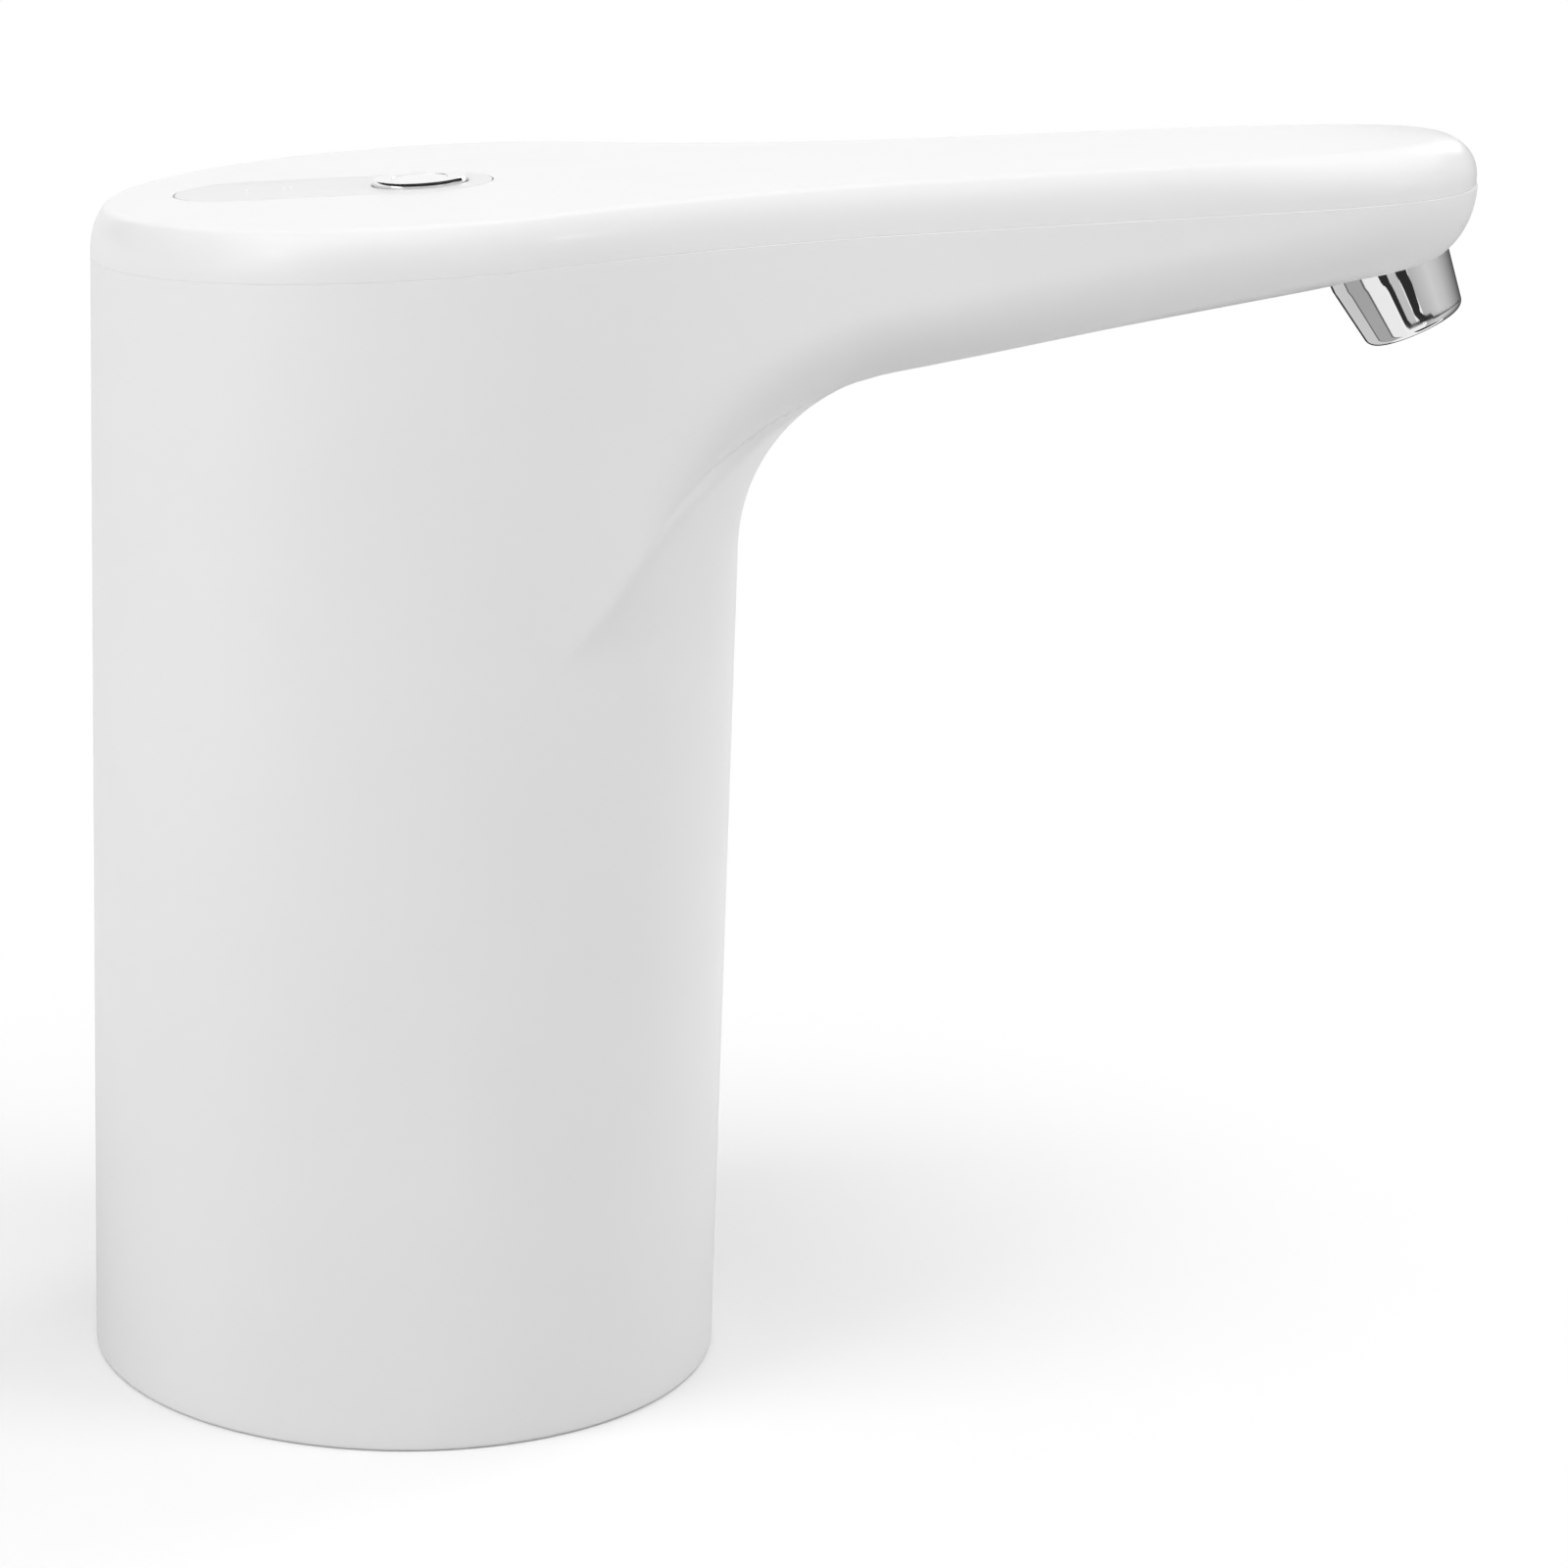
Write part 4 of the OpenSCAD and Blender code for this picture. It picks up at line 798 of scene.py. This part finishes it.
def make_floor(bounce):
    """Pale floor: a soft shadow near the object, plain white further out."""
    half, shadow_to, white_from = 4000, 0.04, 0.145
    corners = [(-half, -half, 0), (half, -half, 0), (half, half, 0), (-half, half, 0)]
    floor = new_object("floor", corners, [(0, 1, 2, 3)])
    material = bpy.data.materials.new("pale_floor")
    material.use_nodes = True
    nodes, links = material.node_tree.nodes, material.node_tree.links
    lit = nodes["Principled BSDF"]
    lit.inputs["Roughness"].default_value = 0.9
    lit.inputs["Specular IOR Level"].default_value = 0.0
    path = add_node(material, "ShaderNodeLightPath")
    tone = add_node(material, "ShaderNodeMix", data_type="RGBA")
    tone.inputs[MIX_FIRST].default_value = (*grey(bounce), 1)
    tone.inputs[MIX_SECOND].default_value = (*grey(0.97), 1)
    links.new(path.outputs["Is Camera Ray"], tone.inputs[MIX_FACTOR])
    links.new(tone.outputs[MIX_RESULT], lit.inputs["Base Color"])
    white = add_node(material, "ShaderNodeEmission")
    white.inputs["Strength"].default_value = 1.0
    place = add_node(material, "ShaderNodeTexCoord")
    away = add_node(material, "ShaderNodeVectorMath", operation="LENGTH")
    links.new(place.outputs["Object"], away.inputs[0])
    fade = add_node(material, "ShaderNodeMapRange", interpolation_type="SMOOTHSTEP")
    fade.inputs["From Min"].default_value = shadow_to
    fade.inputs["From Max"].default_value = white_from
    links.new(away.outputs["Value"], fade.inputs["Value"])
    only_seen = add_node(material, "ShaderNodeMath", operation="MULTIPLY")
    links.new(fade.outputs["Result"], only_seen.inputs[0])
    links.new(seen_directly(material), only_seen.inputs[1])
    mix = add_node(material, "ShaderNodeMixShader")
    links.new(only_seen.outputs[0], mix.inputs["Fac"])
    links.new(lit.outputs["BSDF"], mix.inputs[1])
    links.new(white.outputs["Emission"], mix.inputs[2])
    links.new(mix.outputs["Shader"], nodes["Material Output"].inputs["Surface"])
    floor.data.materials.append(material)


def make_world(level):
    """Even studio light, seen as plain white behind the object and in its mirrors."""
    world = bpy.data.worlds.new("studio")
    bpy.context.scene.world = world
    world.use_nodes = True
    nodes, links = world.node_tree.nodes, world.node_tree.links
    background = nodes["Background"]
    background.inputs["Color"].default_value = (1, 1, 1, 1)
    strength = add_node(world, "ShaderNodeMapRange")
    strength.inputs["To Min"].default_value = level
    strength.inputs["To Max"].default_value = 1.0
    links.new(seen_directly(world), strength.inputs["Value"])
    links.new(strength.outputs["Result"], background.inputs["Strength"])


def softbox(name, place, aim, size, power, lights=True, glints=True):
    """A soft lamp: lights surfaces evenly, shows as a glint in glossy ones, or both."""
    lamp = bpy.data.lights.new(name, "AREA")
    lamp.shape = "RECTANGLE"
    lamp.size, lamp.size_y = size
    lamp.energy = power
    obj = bpy.data.objects.new(name, lamp)
    obj.location = place
    obj.rotation_mode = "QUATERNION"
    obj.rotation_quaternion = (Vector(aim) - Vector(place)).to_track_quat("-Z", "Y")
    obj.visible_diffuse, obj.visible_glossy = lights, glints
    bpy.context.scene.collection.objects.link(obj)


def curved_card(name, matrix, strips):
    """A one-sided glowing card seen only in mirrors, where it paints reflections.

    Each strip has rows of points (radius, angle, height) and the tones at a row's two ends.
    """
    points, faces, tones = [], [], []
    for rows, first, last in strips:
        base, n = len(points), len(rows[0])
        for row in rows:
            for r, degrees, z in row:
                a = math.radians(degrees)
                points.append((r * math.cos(a), r * math.sin(a), z))
            tones += list(np.linspace(first, last, n))
        for i in range(len(rows) - 1):
            start = base + i * n
            faces += [(k, k + n, k + n + 1, k + 1) for k in range(start, start + n - 1)]
    card = new_object(name, points, faces)
    card.data.transform(matrix)
    shade = card.data.color_attributes.new("tone", "FLOAT_COLOR", "POINT")
    for entry, tone in zip(shade.data, tones):
        entry.color = (tone, tone, tone, 1)
    material = bpy.data.materials.new(name)
    material.use_nodes = True
    nodes, links = material.node_tree.nodes, material.node_tree.links
    nodes.remove(nodes["Principled BSDF"])
    glow = add_node(material, "ShaderNodeEmission")
    tone = add_node(material, "ShaderNodeAttribute", attribute_name="tone")
    links.new(tone.outputs["Color"], glow.inputs["Color"])
    clear = add_node(material, "ShaderNodeBsdfTransparent")
    side = add_node(material, "ShaderNodeNewGeometry")
    one_sided = add_node(material, "ShaderNodeMixShader")
    links.new(side.outputs["Backfacing"], one_sided.inputs["Fac"])
    links.new(glow.outputs["Emission"], one_sided.inputs[1])
    links.new(clear.outputs["BSDF"], one_sided.inputs[2])
    links.new(one_sided.outputs["Shader"], nodes["Material Output"].inputs["Surface"])
    card.data.materials.append(material)
    card.visible_camera = card.visible_diffuse = False
    card.visible_shadow = card.visible_transmission = False


def make_cards():
    """Black, grey and white glowing cards that paint the reflected stripes in the nozzle's side,
    and a dark room card that paints dark reflections.
    """
    black, line, mid, pale, white = 0.03, 0.16, 0.42, 0.66, 0.95
    stripe_r, band_r, gap_r, disc_r = 60, 59.9, 59.95, (50, 3)
    camera_side = -87
    seen_at, seen_run, seen_drop, seen_spread = 10.5, 6.8, 20, 0.8

    def row(radius, along, start, end):
        """Card points that the side shows to the camera at this share of the nozzle's length."""
        angles = np.linspace(start, end, 40)
        facing = np.cos(np.radians(angles - camera_side) / 2)
        heights = seen_at + seen_run * along + (seen_drop + seen_spread * along) * facing
        return list(zip([radius] * len(angles), angles, heights))

    def stripe(start, end, first, last):
        """Runs the nozzle's whole length, and past it at both ends."""
        return [row(stripe_r, -4, start, end), row(stripe_r, 11, start, end)], first, last

    def band(radius, path, tone):
        """Follows a path of (share of the length, start angle, end angle)."""
        return [row(radius, *step) for step in path], tone, tone

    # Painted reflections: glowing stripes that show only in the nozzle's chrome
    curved_card("nozzle_reflection_stripes", AT_NOZZLE, [
        stripe(12, 58, pale, pale),
        stripe(8, 12, line, line),
        stripe(-26, 8, mid, mid),
        stripe(-30, -26, line, line),
        stripe(-62, -31, white, white),
        stripe(-150, -112, 0.7, 0.5),
        stripe(-175, -150, 0.6, 0.7),
        stripe(-200, -175, 0.4, 0.6),
        stripe(-225, -200, 0.2, 0.4),
        stripe(-250, -225, 0.04, 0.2),
        stripe(-302, -250, 0.04, 0.04),
    ])
    left_band = [
        (-5, -78, -58), (0, -75, -62), (0.2, -76.5, -66), (0.8, -76, -66), (0.9, -80, -67),
    ]
    left_hook = [(0.9, -106, -67), (0.97, -103, -72)]
    right_band = [
        (-5, -110, -88), (0, -111, -92), (0.25, -113, -94), (0.65, -110, -94), (0.76, -107, -93),
        (0.86, -116, -97),
    ]
    right_hook = [(0.86, -128, -97), (0.96, -134, -106)]
    lip_line = [(0.93, -225, -128), (1.02, -225, -132)]
    between = [(-5, -92, -74), (0.9, -92, -74)]
    # Painted reflections: dark bands, hooks and a lip line in the nozzle's chrome, with a grey
    # strip between them
    curved_card("nozzle_reflection_bands", AT_NOZZLE, [
        band(band_r, left_band, black),
        band(band_r, left_hook, black),
        band(band_r, right_band, black),
        band(band_r, right_hook, black),
        band(band_r, lip_line, black),
        band(gap_r, between, 0.6),
    ])
    # Painted reflection: a dark card that darkens the nozzle's lower edge in its chrome
    disc = [row(radius, 10, -195, -72) for radius in disc_r]
    curved_card("nozzle_low_reflection_card", AT_NOZZLE, [(disc, black, black)])

    # Painted reflection: a dark wall seen only in mirrors, which darkens the near wall of the
    # button's ring and other glossy surfaces
    room_r, room_low, room_high = 420, 145, 430
    around = np.linspace(-225, 45, 60)
    wall = [[(room_r, a, z) for a in around] for z in (room_low, room_high)]
    curved_card("dark_room_reflection_card", Matrix.Identity(4), [(wall, black, black)])


def make_camera():
    data = bpy.data.cameras.new("camera")
    data.sensor_width = CAMERA_SENSOR
    data.lens = CAMERA_LENS
    data.clip_start, data.clip_end = 0.01, 20.0
    camera = bpy.data.objects.new("camera", data)
    aim = Matrix.Rotation(CAMERA_TURN, 4, "Z") @ Matrix.Rotation(math.pi / 2 - CAMERA_RISE, 4, "X")
    camera.matrix_world = mm_matrix(*CAMERA_AT) @ aim @ Matrix.Rotation(CAMERA_ROLL, 4, "Z")
    bpy.context.scene.collection.objects.link(camera)
    bpy.context.scene.camera = camera


def make_lamps():
    """Soft lamps, placed in metres, and two small ones that only glint in the cover's edge."""
    softbox("overhead", (0.05, -0.05, 0.9), (0.03, 0, 0.1), (1.2, 1.0), 5.6, glints=False)
    softbox("left_key", (-0.75, -0.55, 0.45), (0, 0, 0.08), (0.6, 0.8), 5.1)
    softbox("high_front", (-0.2, -0.9, 0.9), (0.03, 0, 0.1), (0.8, 0.6), 0.9)
    softbox("right_front", (0.6, -1.0, 0.3), (0.06, 0, 0.1), (0.6, 0.6), 1.0)
    softbox("right_fill", (0.8, -0.2, 0.25), (0.02, 0, 0.07), (0.5, 0.8), 2.8)
    softbox("right_rim", (0.55, 0.6, 0.3), (0.02, 0, 0.07), (0.5, 0.8), 2.4)
    left_edge, tip_edge = (-0.012, -0.032, 0.124), (0.099, -0.014, 0.134)
    softbox("left_glint", (-0.596, -0.48, 0.444), left_edge, (0.1, 0.06), 0.3, lights=False)
    softbox("tip_glint", (0.651, -0.486, 0.454), tip_edge, (0.1, 0.06), 0.35, lights=False)


make_camera()
dress()
make_floor(bounce=0.59)
make_world(level=0.16)
make_cards()
make_lamps()

bpy.context.scene.view_settings.view_transform = "Standard"
